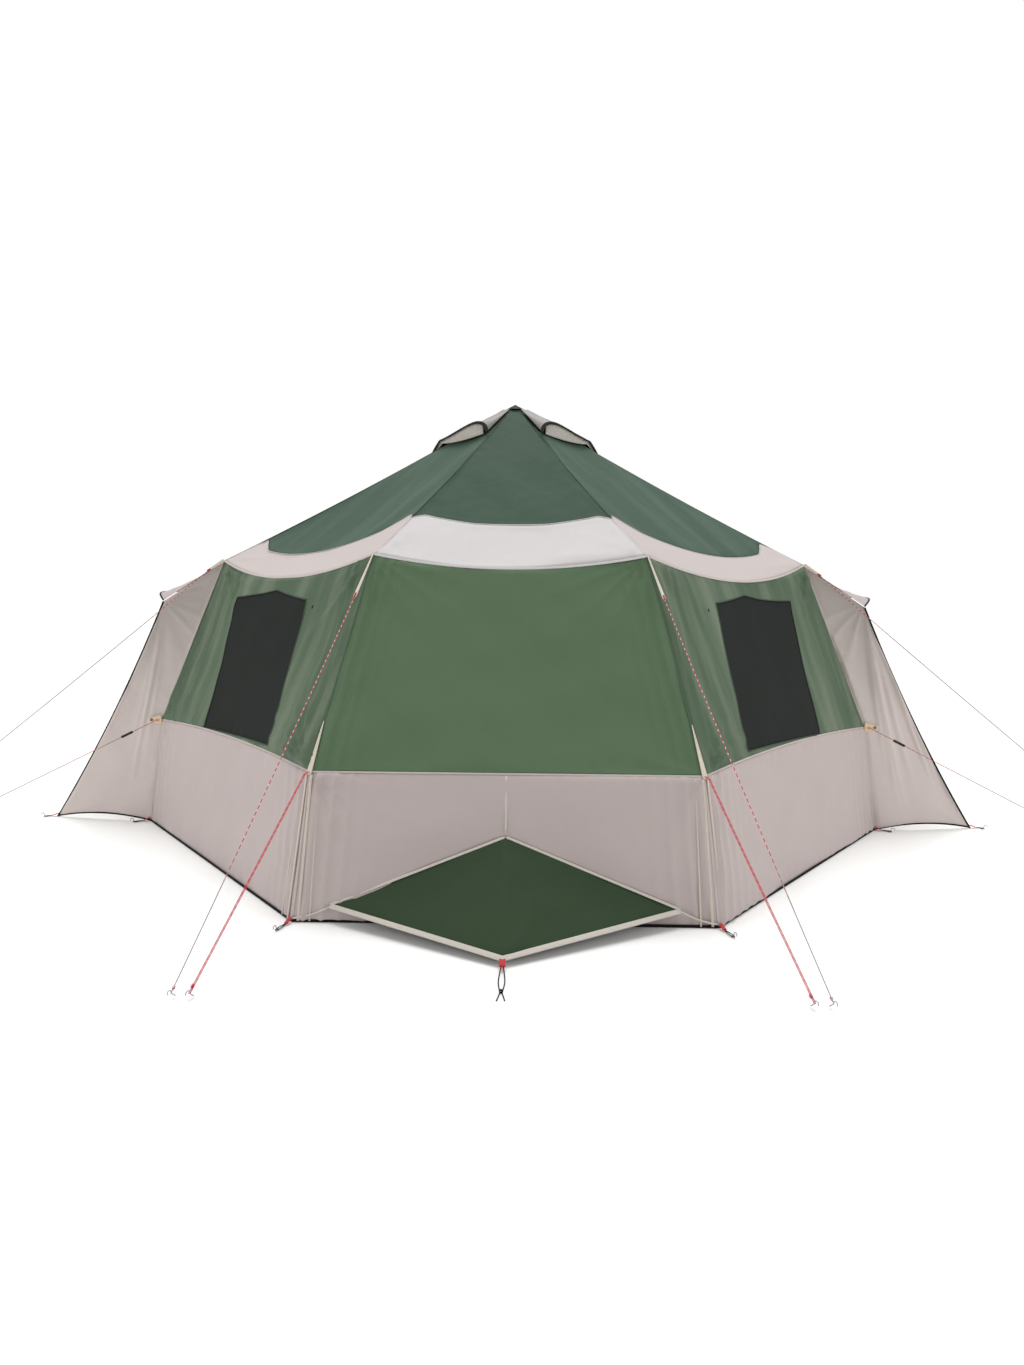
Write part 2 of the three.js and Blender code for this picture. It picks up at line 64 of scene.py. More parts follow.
WINDOW = [(-0.330, 0.885), (0.0, 0.932), (0.470, 0.880), (0.320, 0.035), (-0.500, 0.055)]
DOOR = {"half": 0.450, "sill": 0.060, "top": 1.440, "clearance": 0.004}

PORCH = {
    "tip_reach": 0.676, "tip_inward": 0.070, "top_reach": 0.340, "top_outward": 0.173,
    "top_drop": 0.264, "edge_hollow": 0.038, "hem_rise": 0.035, "bow_reach": 0.325,
    "bow_rise": 0.055,
}
VENT = {
    "top_radius": 0.100, "end_radius": 0.470, "middle_radius": 0.640, "lift": 0.092,
    "side_lift": 0.016, "clearance": 0.014,
}
VENT_MOUTH = {"start": 0.10, "lean": 3.1, "fullness": 0.5}  # start: share of the way to a ridge
HOOD = {
    "half_width": 0.830, "top": 0.400, "side_height": 0.078, "reach": 0.371,
    "tip_height": 0.034, "stand_off": 0.008,
}
GUY = {
    "front": (0.677, 68.4), "side": (1.507, 31.4), "peg_eye": 0.026, "sag": 0.012,
    "tab": 0.290, "side_tab": 0.116, "side_out": 0.012, "knee_start": 0.030, "radius": 0.002,
}

CLOTH = 0.0010  # thickness of every cloth sheet
GROUND = 0.0002  # height of the lowest threads
SEAM = 0.0006  # half the gap between two panels under their seam tape
GRID = 0.014  # size of a cloth face
SMOOTH_GRID = 0.028  # the same where the cloth is drawn tight and has no folds

# ---------- The tent's lines ----------

FACINGS = [
    "right", "back_right", "back", "back_left", "left", "front_left", "front", "front_right",
]
FLOOR_RADIUS = FLOOR_WIDTH / 2 / math.cos(math.radians(22.5))
APEX = np.array([0.0, 0.0, APEX_HEIGHT])
UP = np.array([0.0, 0.0, 1.0])


def at_angle(degrees, radius, height=0.0):
    a = math.radians(degrees)
    return np.array([radius * math.cos(a), radius * math.sin(a), height])


def corner_angle(n):
    """Corner n lies between facing n - 1 and facing n."""
    return 45 * n - 22.5


def corner_kind(n):
    return "side" if n % 8 in (0, 1, 4, 5) else "front"


def panel_kind(facing):
    return ("side", "diagonal", "front", "diagonal")[facing % 4]


def corner(n, inset, height):
    reach = FLOOR_RADIUS - (inset[corner_kind(n)] if inset else 0)
    return at_angle(corner_angle(n), reach, height)


def floor_corner(n):
    return corner(n, None, 0)


def knee_corner(n):
    return corner(n, KNEE_INSET, KNEE_HEIGHT)


def eave_corner(n):
    return corner(n, EAVE_INSET, EAVE_HEIGHT)


def outward(facing):
    return at_angle(45 * facing, 1)


def across_porch(n):
    return math.copysign(1, math.sin(math.radians(corner_angle(n))))


def along_porch(n):
    return math.copysign(1, math.cos(math.radians(corner_angle(n))))


def unit(v):
    v = np.asarray(v, float)
    return v / np.maximum(np.linalg.norm(v, axis=-1, keepdims=True), 1e-12)


def lerp(a, b, t):
    return a + (b - a) * np.asarray(t, float)[..., None]


def between(a, b, u, gap=SEAM):
    """The point at the share u of the way from a to b, clear of a seam at both ends."""
    share = gap / np.maximum(np.linalg.norm(b - a, axis=-1), 1e-9)
    return lerp(a, b, share + u * (1 - 2 * share))


def smooth_step(t):
    t = np.clip(t, 0, 1)
    return t * t * (3 - 2 * t)


def bow(u):
    """An even curve from 0 at both ends to 1 halfway."""
    return 4 * u * (1 - u)


def down_the_wall(facing):
    knee = (knee_corner(facing) + knee_corner(facing + 1)) / 2
    eave = (eave_corner(facing) + eave_corner(facing + 1)) / 2
    return unit(knee - eave)


def edge_point(facing, u, ends, drop=0.0):
    """On a panel's edge from ends(facing) to the next corner, hanging by drop in its middle."""
    hang = np.asarray(drop * bow(u))[..., None] * down_the_wall(facing)
    return between(ends(facing), ends(facing + 1), u) + hang


def eave_point(facing, u):
    return edge_point(facing, u, eave_corner, EAVE_DROP[panel_kind(facing)])


def knee_point(facing, u):
    return edge_point(facing, u, knee_corner, -KNEE_BOW[panel_kind(facing)])


def floor_point(facing, u):
    return edge_point(facing, u, floor_corner)


def roof_point(facing, u, t):
    """u across the panel, t down from the apex."""
    left = lerp(APEX, eave_corner(facing), t)
    right = lerp(APEX, eave_corner(facing + 1), t)
    point = between(left, right, u)
    drop = EAVE_DROP[panel_kind(facing)] * bow(u) * t * t
    point = point + drop[..., None] * down_the_wall(facing)
    point[..., 2] -= ROOF_HOLLOW * bow(t)
    return point


def upper_wall_point(facing, u, v):
    return between(knee_point(facing, u), eave_point(facing, u), v)


def lower_wall_point(facing, u, v):
    return lerp(floor_point(facing, u), knee_point(facing, u), v)


def peg_point(n):
    beyond, bearing = GUY[corner_kind(n)]
    x, y, z = at_angle(bearing, FLOOR_RADIUS + beyond, GUY["peg_eye"])
    return np.array([x * along_porch(n), y * across_porch(n), z])


def wing_tip(n):
    x, y, _ = floor_corner(n)
    return np.array([
        x + along_porch(n) * PORCH["tip_reach"], y - across_porch(n) * PORCH["tip_inward"], 0,
    ])


def wing_top(n):
    x, y, z = eave_corner(n)
    return np.array([
        x + along_porch(n) * PORCH["top_reach"], y + across_porch(n) * PORCH["top_outward"],
        z - PORCH["top_drop"],
    ])


WING_KNEE = 0.4  # share of a wing's edge that faces the lower band


def wing_point(n, u, v):
    """u from the tent's corner seam to the free front edge, v from the ground up."""
    low = lerp(floor_corner(n), knee_corner(n), np.clip(v / WING_KNEE, 0, 1))
    high = lerp(knee_corner(n), eave_corner(n), np.clip((v - WING_KNEE) / (1 - WING_KNEE), 0, 1))
    seam = np.where((v <= WING_KNEE)[..., None], low, high)
    edge = lerp(wing_tip(n), wing_top(n), v)
    edge[..., 0] -= along_porch(n) * PORCH["edge_hollow"] * bow(v)
    start = seam + unit(edge - seam) * 0.003
    point = lerp(start, edge, u)
    point[..., 2] += PORCH["hem_rise"] * bow(u) * (1 - v) ** 3
    point[..., 2] -= 0.010 * np.clip((v - WING_KNEE) / (1 - WING_KNEE), 0, 1) ** 3
    return point


def canopy_point(facing, u, v):
    """u across the porch, v from the eave to the bowed front edge."""
    side = along_porch(facing)
    bulge = bow(u)
    inner = lerp(eave_corner(facing), eave_corner(facing + 1), u)
    inner = inner + (EAVE_DROP["side"] * bulge)[..., None] * down_the_wall(facing)
    outer = lerp(wing_top(facing), wing_top(facing + 1), u)
    outer[..., 0] += side * PORCH["bow_reach"] * bulge
    outer[..., 2] += PORCH["bow_rise"] * (1 - (2 * u - 1) ** 4)
    start = inner + unit(outer - inner) * 0.010
    return lerp(start, outer, v)


def roof_height(degrees, radius):
    """Height of the straight-lined roof at an angle round the pole."""
    facing = np.round(degrees / 45).astype(int)
    starts = np.array([eave_corner(k) for k in range(-2, 4)])
    start, end = starts[facing + 2], starts[facing + 3]
    a = np.radians(degrees)
    direction = np.stack([np.cos(a), np.sin(a)], -1)
    edge = end - start
    reach = (start[..., 0] * edge[..., 1] - start[..., 1] * edge[..., 0]) / (
        direction[..., 0] * edge[..., 1] - direction[..., 1] * edge[..., 0]
    )
    return APEX_HEIGHT - (APEX_HEIGHT - EAVE_HEIGHT) * (radius / reach)


def vent_point(side, u, v, lift=1.0):
    """u round the cap from its front ridge to its back ridge, v from the apex to the rim."""
    half = 67.5 - math.degrees(VENT["clearance"] / VENT["end_radius"])
    swing = (2 * u - 1) * half
    share = np.abs(2 * u - 1)
    rim = VENT["middle_radius"] + (VENT["end_radius"] - VENT["middle_radius"]) * share**1.2
    radius = VENT["top_radius"] + (rim - VENT["top_radius"]) * v
    place = np.clip((share - VENT_MOUTH["start"]) / (1 - VENT_MOUTH["start"]), 0, 1)
    arch = np.clip(np.sin(math.pi * place ** VENT_MOUTH["lean"]), 0, 1)
    swell = arch ** VENT_MOUTH["fullness"]
    rise = VENT["side_lift"] + VENT["lift"] * swell * v**1.3
    a = np.radians(swing)
    return np.stack([
        side * radius * np.cos(a), radius * np.sin(a), roof_height(swing, radius) + rise * lift,
    ], -1)


def hood_point(side, u, v):
    """u across the wall, v from the hood's top edge down to its free bottom edge."""
    depth = floor_corner(6)[1] - knee_corner(6)[1]

    def wall(z):
        return -floor_corner(6)[1] + depth * z / KNEE_HEIGHT + HOOD["stand_off"]

    across = (2 * u - 1) * 0.985
    share = np.abs(across)
    x = across * HOOD["half_width"]
    top_z = HOOD["top"] + (HOOD["side_height"] - HOOD["top"]) * share
    tip_y = wall(0.0) - HOOD["stand_off"] + HOOD["reach"]
    low_y = tip_y + (wall(HOOD["side_height"]) - tip_y) * share
    low_z = HOOD["tip_height"] + (HOOD["side_height"] - HOOD["tip_height"]) * share
    y = wall(top_z) + (low_y - wall(top_z)) * v
    z = top_z + (low_z - top_z) * v
    return np.stack([x, y * side, z], -1)


# ---------- Relief of the cloth ----------


def ripples(points, wavelength, seed, waves=9):
    """A smooth irregular field between about -1 and 1 over the points."""
    draw = np.random.default_rng(seed)
    total = np.zeros(points.shape[:-1])
    for _ in range(waves):
        direction = unit(draw.normal(size=3))
        length = wavelength * draw.uniform(0.7, 1.5)
        phase = draw.uniform(0, 2 * math.pi)
        total += np.sin(points @ direction * (2 * math.pi / length) + phase)
    return total / math.sqrt(waves)


def crest(wave):
    """Turns an even wave into narrow folds between broad hollows."""
    return (0.5 + 0.5 * np.sin(wave)) ** 3


def fan(points, centre, seed, reach, count=9):
    """Creases that run out from a point under tension, and die away with distance."""
    draw = np.random.default_rng(seed)
    away = points - centre
    distance = np.linalg.norm(away, axis=-1)
    axis_a = unit(draw.normal(size=3))
    angle = np.arccos(np.clip(unit(away) @ axis_a, -1, 1))
    wobble = 0.6 * ripples(points, 0.5, seed + 1)
    strength = np.exp(-((distance / reach) ** 2)) * np.clip(distance / 0.06, 0, 1)
    return strength * crest(angle * count * 2 + wobble + draw.uniform(0, 6))


def pucker(along, distance, seed, wavelength=0.07, depth=0.05):
    """Short gathers along a seam."""
    draw = np.random.default_rng(seed)
    phase = draw.uniform(0, 6)
    slow = np.sin(along * 2 * math.pi / (wavelength * 5.3) + phase * 2)
    wave = np.sin(along * 2 * math.pi / wavelength + phase + 1.7 * slow)
    return wave * (0.6 + 0.4 * slow) * np.exp(-distance / depth)


# ---------- Mesh work ----------


def mesh_piece(name, points, faces, material, body, coordinates):
    mesh = bpy.data.meshes.new(name)
    mesh.from_pydata([tuple(p) for p in points], [], faces)
    mesh.update()
    mesh.polygons.foreach_set("use_smooth", [True] * len(mesh.polygons))
    layer = mesh.attributes.new("cloth", "FLOAT_VECTOR", "POINT")
    layer.data.foreach_set("vector", np.asarray(coordinates, np.float32).ravel())
    piece = bpy.data.objects.new(name, mesh)
    bpy.context.scene.collection.objects.link(piece)
    mesh.materials.append(material)
    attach(piece, body)
    return piece


def surface_side(points):
    """The side that a grid's faces look to, on average."""
    du = points[1:, 1:] - points[:-1, :-1]
    dv = points[1:, :-1] - points[:-1, 1:]
    return np.cross(dv, du).sum((0, 1)) * -1


def in_the_cloth(points, facing_to):
    """Metres along and up the cloth from its middle, in the plane that faces facing_to."""
    normal = unit(facing_to)
    along = unit(np.cross(UP if abs(normal[2]) < 0.9 else np.array([1.0, 0, 0]), normal))
    up = np.cross(normal, along)
    rel = points - points.mean((0, 1))
    return np.stack([rel @ along, rel @ up, np.zeros(points.shape[:2])], -1)


def cloth(
    name, u, v, point_at, facing_to, material, body, relief, hold=None, skip=None, weld=False,
):
    """A sheet over the grid of u by v, and its points before the relief, which is a height along
    facing_to. hold scales the relief: a function, or the two shares of edge_hold. skip(column, row)
    leaves faces out."""
    uu, vv = np.meshgrid(u, v) if np.ndim(u) == 1 else (u, v)
    plain = point_at(uu, vv)
    flipped = surface_side(plain) @ facing_to < 0
    height = relief(plain, uu, vv)
    if hold:
        height = height * (hold(uu, vv) if callable(hold) else edge_hold(uu, vv, *hold))
    points = plain + unit(facing_to) * height[..., None]
    rows, columns = points.shape[:2]
    faces = []
    for row in range(rows - 1):
        for column in range(columns - 1):
            if skip is not None and skip(column, row):
                continue
            a = row * columns + column
            face = (a, a + 1, a + columns + 1, a + columns)
            faces.append(face[::-1] if flipped else face)
    used = np.unique(np.array(faces))
    again = np.full(rows * columns, -1)
    again[used] = np.arange(len(used))
    faces = [tuple(int(again[i]) for i in face) for face in faces]
    piece = mesh_piece(
        name, points.reshape(-1, 3)[used], faces, material, body,
        in_the_cloth(plain, facing_to).reshape(-1, 3)[used],
    )
    if weld:
        work = bmesh.new()
        work.from_mesh(piece.data)
        bmesh.ops.remove_doubles(work, verts=work.verts, dist=1e-6)
        work.to_mesh(piece.data)
        work.free()
    shell = piece.modifiers.new("thickness", "SOLIDIFY")
    shell.thickness, shell.offset, shell.use_quality_normals = CLOTH, -1.0, True
    return piece, plain


def edge_hold(uu, vv, share_u=0.03, share_v=0.04):
    """1 over the panel, and 0 along its seams."""
    hold = np.clip(np.minimum(uu, 1 - uu) / share_u, 0, 1)
    return hold * np.clip(vv / share_v, 0, 1) * np.clip((1 - vv) / share_v, 0, 1)


def steps(length, size=GRID):
    return int(min(200, max(4, round(length / size))))


def run_along(path):
    """The distance of each point of a path from its start."""
    return np.concatenate([[0], np.cumsum(np.linalg.norm(np.diff(path, axis=0), axis=1))])


def sweep(name, path, normal, section, material, body, size=0.03, closed=False, taper=None):
    """Sweeps a closed section of (side, out) pairs along a path. normal is the outward side, one
    vector or one for each point of the path; taper scales the section along the path."""
    path = np.asarray(path, float)
    normals = np.broadcast_to(np.asarray(normal, float), path.shape)
    run = run_along(path)
    count = max(3, int(math.ceil(run[-1] / size)) + 1)
    at = np.linspace(0, run[-1], count)
    line, outs = (
        np.stack([np.interp(at, run, values[:, k]) for k in range(3)], 1)
        for values in (path, normals)
    )
    ahead = unit(np.gradient(line, axis=0))
    if closed:
        ahead[0] = ahead[-1] = unit(line[1] - line[-2])
    outs = unit(outs - (outs * ahead).sum(1, keepdims=True) * ahead)
    sides = np.cross(ahead, outs)
    section = np.asarray(section, float)
    scale = np.ones(count) if taper is None else taper(at / run[-1])
    rings = (
        line[:, None]
        + sides[:, None] * section[None, :, :1] * scale[:, None, None]
        + outs[:, None] * section[None, :, 1:] * scale[:, None, None]
    )
    rings[..., 2] = np.maximum(rings[..., 2], GROUND)
    k = len(section)
    last = count - 1 if closed else count
    faces = []
    for i in range(last if closed else count - 1):
        j = (i + 1) % last if closed else i + 1
        for a in range(k):
            b = (a + 1) % k
            faces.append((i * k + a, i * k + b, j * k + b, j * k + a))
    if not closed:
        faces.append(tuple(range(k))[::-1])
        faces.append(tuple(range((count - 1) * k, count * k)))
    round_it = run_along(section)
    coordinates = np.stack([
        np.repeat(at[:last], k), np.tile(section[:, 0], last), np.tile(round_it, last),
    ], 1)
    return mesh_piece(
        name, rings[:last].reshape(-1, 3), faces, material, body, coordinates,
    )


def tape(width, thick, bend=0.0):
    """Section of a ribbon with soft edges, standing on its surface. bend is the slope of its two
    halves, where it goes over a ridge."""
    half = width / 2
    flat = [
        (-half, 0), (-half * 0.96, thick * 0.75), (-half * 0.7, thick), (0, thick * 1.12),
        (half * 0.7, thick), (half * 0.96, thick * 0.75), (half, 0), (half * 0.7, -thick * 0.4),
        (0, -thick * 0.4), (-half * 0.7, -thick * 0.4),
    ]
    return [(across, out - bend * abs(across)) for across, out in flat]


def ring(radius, sides=8, flat=1.0):
    turn = 2 * math.pi / sides
    return [(radius * math.cos(i * turn), radius * flat * math.sin(i * turn)) for i in range(sides)]


# ---------- Materials ----------


def linear(hex_colour):
    values = [int(hex_colour[i:i + 2], 16) / 255 for i in (1, 3, 5)]
    return tuple(
        v / 12.92 if v <= 0.04045 else ((v + 0.055) / 1.055) ** 2.4 for v in values
    ) + (1.0,)


class Shader:
    """A material with one Principled shader, and short calls to add nodes to it."""

    def __init__(self, name):
        self.material = bpy.data.materials.new(name)
        self.material.use_nodes = True
        self.tree = self.material.node_tree
        self.principled = self.tree.nodes["Principled BSDF"]

    def node(self, kind, inputs=None, **settings):
        made = self.tree.nodes.new(kind)
        for key, value in settings.items():
            setattr(made, key, value)
        for key, value in (inputs or {}).items():
            self.put(made.inputs[key], value)
        return made

    def put(self, socket, value):
        if isinstance(value, bpy.types.NodeSocket):
            self.tree.links.new(value, socket)
        else:
            socket.default_value = value

    def math(self, operation, a, b=0.0, clamp=False):
        made = self.node("ShaderNodeMath", {0: a, 1: b}, operation=operation, use_clamp=clamp)
        return made.outputs[0]

    def mix(self, share, a, b):
        made = self.node("ShaderNodeMix", data_type="RGBA")
        self.put(made.inputs[0], share)
        self.put(made.inputs[6], a)
        self.put(made.inputs[7], b)
        return made.outputs[2]

    def where(self, name="cloth"):
        return self.node("ShaderNodeAttribute", attribute_name=name).outputs["Vector"]

    def noise(self, vector, scale, detail=3.0, roughness=0.5, kind="FBM"):
        return self.node(
            "ShaderNodeTexNoise",
            {"Vector": vector, "Scale": scale, "Detail": detail, "Roughness": roughness},
            noise_type=kind,
        ).outputs[0]

    def stretched(self, vector, factors):
        made = self.node("ShaderNodeVectorMath", {0: vector, 1: factors}, operation="MULTIPLY")
        return made.outputs[0]

    def bump(self, height, strength, distance, normal=None):
        made = self.node("ShaderNodeBump", {
            "Height": height, "Strength": strength, "Distance": distance,
        })
        if normal is not None:
            self.put(made.inputs["Normal"], normal)
        return made.outputs[0]

    def surface(self, **sockets):
        for key, value in sockets.items():
            self.put(self.principled.inputs[key.replace("_", " ")], value)
        return self.material


def weave(shader, vector, pitch):
    """Height of a plain weave whose threads are pitch metres apart."""
    scale = 2 * math.pi / 20 / pitch
    threads = [
        shader.node(
            "ShaderNodeTexWave", {"Vector": vector, "Scale": scale, "Distortion": 0.6},
            bands_direction=direction,
        ).outputs["Fac"]
        for direction in ("X", "Y")
    ]
    return shader.math("MULTIPLY", threads[0], threads[1])


def stitches(shader, vector, row, pitch=0.0032, width=0.0007):
    """1 on two rows of stitches along the coordinates' x, each row metres off the middle."""
    parts = shader.node("ShaderNodeSeparateXYZ", {0: vector}).outputs
    off = shader.math("ABSOLUTE", parts[1])
    off = shader.math("ABSOLUTE", shader.math("SUBTRACT", off, row))
    on_row = shader.math("LESS_THAN", off, width)
    dash = shader.math("FRACT", shader.math("DIVIDE", parts[0], pitch))
    return shader.math("MULTIPLY", on_row, shader.math("LESS_THAN", dash, 0.68))


def taffeta(
    name, colour, shade, roughness=0.58, sheen=0.2, crinkle=0.5, stitch=None, pitch=0.0011,
    streak=None, gloss=0.22,
):
    """Coated polyester taffeta: plain weave, slubs, fine crinkles, cloudy colour and soft sheen.
    streak is the colour of the paler upright bands where light comes through."""
    s = Shader(name)
    at = s.where()
    cloudy = s.noise(at, 2.2, 4.0, 0.55)
    slubs = s.noise(s.stretched(at, (18, 420, 1)), 1.0, 2.0)
    warp = s.noise(s.stretched(at, (420, 18, 1)), 1.0, 2.0)
    share = s.math("ADD", s.math("MULTIPLY", cloudy, 0.55), s.math("MULTIPLY", slubs, 0.3))
    share = s.math("ADD", share, s.math("MULTIPLY", warp, 0.15), clamp=True)
    paint = s.mix(share, linear(shade), linear(colour))
    if streak:
        bands = s.noise(s.stretched(at, (6.5, 0.55, 1)), 1.0, 3.0)
        bands = s.math("MULTIPLY", s.math("SUBTRACT", bands, 0.44), 3.2, clamp=True)
        paint = s.mix(s.math("MULTIPLY", bands, 0.55), paint, linear(streak))
    creases = s.noise(at, 5.5, 6.0, 0.62, "RIDGED_MULTIFRACTAL")
    folds = s.noise(at, 11.0, 5.0, 0.55)
    normal = s.bump(s.math("ADD", s.math("MULTIPLY", creases, 0.22), folds), crinkle, 0.006)
    normal = s.bump(weave(s, at, pitch), 0.25, 0.00025, normal)
    if stitch:
        row, thread = stitch
        on = stitches(s, at, row)
        paint = s.mix(on, paint, linear(thread))
        normal = s.bump(on, 0.6, 0.0005, normal)
    glint = s.math("ADD", s.math("MULTIPLY", folds, 0.18), roughness - 0.09)
    return s.surface(
        Base_Color=paint, Roughness=glint, Normal=normal,
        Sheen_Weight=sheen, Sheen_Roughness=0.45, Specular_IOR_Level=gloss,
    )


def webbing(name, colour, shade, pitch=0.0016, sheen=0.25, gloss=0.5):
    """Woven strap: herringbone ribs across its run."""
    s = Shader(name)
    at = s.where()
    ribs = s.node(
        "ShaderNodeTexWave", {"Vector": at, "Scale": 0.314 / pitch, "Distortion": 1.2},
        bands_direction="DIAGONAL",
    ).outputs["Fac"]
    paint = s.mix(s.math("MULTIPLY", ribs, 0.8), linear(shade), linear(colour))
    return s.surface(
        Base_Color=paint, Roughness=s.math("ADD", s.math("MULTIPLY", ribs, 0.1), 0.68),
        Normal=s.bump(ribs, 0.6, 0.0006), Sheen_Weight=sheen, Sheen_Roughness=0.5,
        Specular_IOR_Level=gloss,
    )


def netting(name, colour, shade, pitch=0.0014):
    """Fine insect mesh: a lattice of yarns with darker holes."""
    s = Shader(name)
    at = s.where()
    lattice = weave(s, at, pitch)
    cloudy = s.noise(at, 3.0, 4.0)
    share = s.math("ADD", s.math("MULTIPLY", lattice, 0.6), s.math("MULTIPLY", cloudy, 0.4))
    folds = s.noise(at, 6.0, 4.0)
    return s.surface(
        Base_Color=s.mix(share, linear(shade), linear(colour)), Roughness=0.8,
        Normal=s.bump(lattice, 0.5, 0.0005, s.bump(folds, 0.4, 0.006)), Specular_IOR_Level=0.08,
    )


BRAID = {"round": 0.0126, "strand": 0.011, "fleck_every": 0.030, "fleck_share": 0.36}


def braid(name, colour, fleck, grey_from, grey="#8d8986", shade="#6e2a30"):
    """Braided cord: a spiral of strands with painted shade between them, light flecks, and a duller run
    past grey_from metres.
    """
    s = Shader(name)
    at = s.where()
    parts = s.node("ShaderNodeSeparateXYZ", {0: at}).outputs
    turn = s.math("DIVIDE", parts[2], BRAID["round"])
    along = s.math("DIVIDE", parts[0], BRAID["strand"])
    one = s.math("FRACT", s.math("ADD", along, turn))
    other = s.math("FRACT", s.math("SUBTRACT", along, turn))
    strands = s.math("MULTIPLY", s.math("PINGPONG", one, 0.5), s.math("PINGPONG", other, 0.5))
    place = s.math("FRACT", s.math("DIVIDE", parts[0], BRAID["fleck_every"]))
    flecks = s.math("LESS_THAN", place, BRAID["fleck_share"])
    paint = s.mix(flecks, linear(colour), linear(fleck))
    past = s.math("MULTIPLY", s.math("SUBTRACT", parts[0], grey_from), 4.0, clamp=True)
    paint = s.mix(past, paint, linear(grey))
    # Painted shade: the shade colour fills the grooves between the strands.
    lit = s.math("ADD", s.math("MULTIPLY", strands, 3.0), 0.6, clamp=True)
    paint = s.mix(lit, linear(shade), paint)
    return s.surface(
        Base_Color=paint, Roughness=s.math("ADD", s.math("MULTIPLY", flecks, 0.1), 0.6),
        Normal=s.bump(strands, 0.7, 0.0007), Sheen_Weight=0.2,
    )


def metal(name, colour, roughness):
    """Zinc-plated steel with fine draw lines and faint clouding."""
    s = Shader(name)
    at = s.node("ShaderNodeTexCoord").outputs["Object"]
    lines = s.noise(s.stretched(at, (260, 260, 3)), 1.0, 3.0)
    spangle = s.noise(at, 45.0, 4.0)
    return s.surface(
        Base_Color=s.mix(spangle, linear(colour), linear("#b9bcbf")), Metallic=1.0,
        Roughness=s.math("ADD", s.math("MULTIPLY", lines, 0.22), roughness),
        Normal=s.bump(lines, 0.15, 0.0004),
    )


def plastic(name, colour, shade, roughness=0.42):
    """Moulded nylon with a fine grain."""
    s = Shader(name)
    at = s.node("ShaderNodeTexCoord").outputs["Object"]
    grain = s.noise(at, 900.0, 3.0)
    cloudy = s.noise(at, 30.0, 3.0)
    return s.surface(
        Base_Color=s.mix(cloudy, linear(shade), linear(colour)),
        Roughness=s.math("ADD", s.math("MULTIPLY", grain, 0.2), roughness),
        Normal=s.bump(grain, 0.35, 0.0003), Specular_IOR_Level=0.45,
    )


# Painted shade: the roof greens are darker than the wall green as painted shade, and the front copy is
# darker than the side copy of the same cloth.
ROOF = {
    "front": taffeta("roof_taffeta", "#3c5343", "#354a3b", sheen=0.02, gloss=0.05),
    "side": taffeta(
        "side_roof_taffeta", "#4c6152", "#43574a", sheen=0.02, gloss=0.05, streak="#5f6f64",
    ),
}
ROOF["diagonal"] = ROOF["side"]
WALL = taffeta("wall_taffeta", "#5b7257", "#53684f", sheen=0.05, crinkle=0.7, gloss=0.10)
WINDOW_WALL = taffeta(
    "window_wall_taffeta", "#566853", "#475a46", sheen=0.05, crinkle=0.9, streak="#8b917f",
    gloss=0.16,
)
BAND = taffeta("band_taffeta", "#bbafac", "#b1a5a3", sheen=0.10, crinkle=0.8)
ROOF_BAND = {
    "front": taffeta("roof_band_taffeta", "#cac6c6", "#c2bebe", sheen=0.10),
    "side": taffeta("side_roof_band_taffeta", "#c8bebb", "#beb4b1", sheen=0.10),
}
ROOF_BAND["diagonal"] = ROOF_BAND["side"]
# The wings are the pale band's cloth, made lighter as painted light.
WING_CLOTH_PAINTED_LIGHT = taffeta("wing_taffeta_painted_light", "#c9beb9", "#beb3af", sheen=0.10, crinkle=0.8)
VENT_CLOTH = taffeta("vent_taffeta", "#a7a29f", "#98938f", sheen=0.10)
LINING = taffeta("lining_taffeta", "#d9d4cd", "#cbc5be", sheen=0.10)
# The hood's green is darkened as painted shade on its upward-facing slope.
HOOD_CLOTH_PAINTED_SHADE = taffeta("hood_taffeta_painted_shade", "#374834", "#31402d", sheen=0.02, gloss=0.08)
SHEET_CLOTH = taffeta("groundsheet_laminate", "#6c6f71", "#5f6264", roughness=0.5, pitch=0.003)
# Dark netting: partly the mesh's own dark colour, partly painted shade of the unlit space behind it, in
# the windows and under the vent caps.
NET = netting("dark_netting_painted_shade", "#2f3230", "#252826")
PALE_NET = netting("vent_netting", "#d6d1c8", "#b0aba3")
# The ridge seam tape takes the front roof's darkened green, the same painted shade.
ROOF_TAPE = taffeta(
    "roof_seam", "#405646", "#394d3f", sheen=0.02, gloss=0.05, stitch=(0.0030, "#4a5f50"),
)
# Paler than the band: a painted highlight on the crests of the corner pleats.
PLEAT = taffeta("corner_pleat_painted_highlight", "#cfc4b9", "#c2b7ac", sheen=0.10)
WALL_TAPE = taffeta("wall_seam", "#4a5d48", "#425440", sheen=0.05, stitch=(0.0035, "#5f7360"))
WINDOW_TAPE = taffeta("window_seam", "#3b4b3a", "#344333", sheen=0.03, stitch=(0.0020, "#4a5b48"))
BAND_TAPE = taffeta("band_seam", "#c0b4b0", "#b6aaa7", sheen=0.10, stitch=(0.0030, "#cfc5bf"))
CREAM_TAPE = webbing("cream_webbing", "#e2d8c9", "#d0c3b2")
WHITE_BINDING = webbing("hood_binding", "#d2cbc2", "#c0b9af")
BLACK_BINDING = webbing("black_binding", "#1b1a1c", "#121113", sheen=0.02, gloss=0.10)
RIM_CLOTH = taffeta("rim_taffeta", "#3b3c3a", "#2f302e", sheen=0.02, gloss=0.05)
RED_WEBBING = webbing("red_webbing", "#d01c2c", "#a81421")
TAN_PATCH = taffeta("tan_patch", "#dcc7a8", "#cfb796")
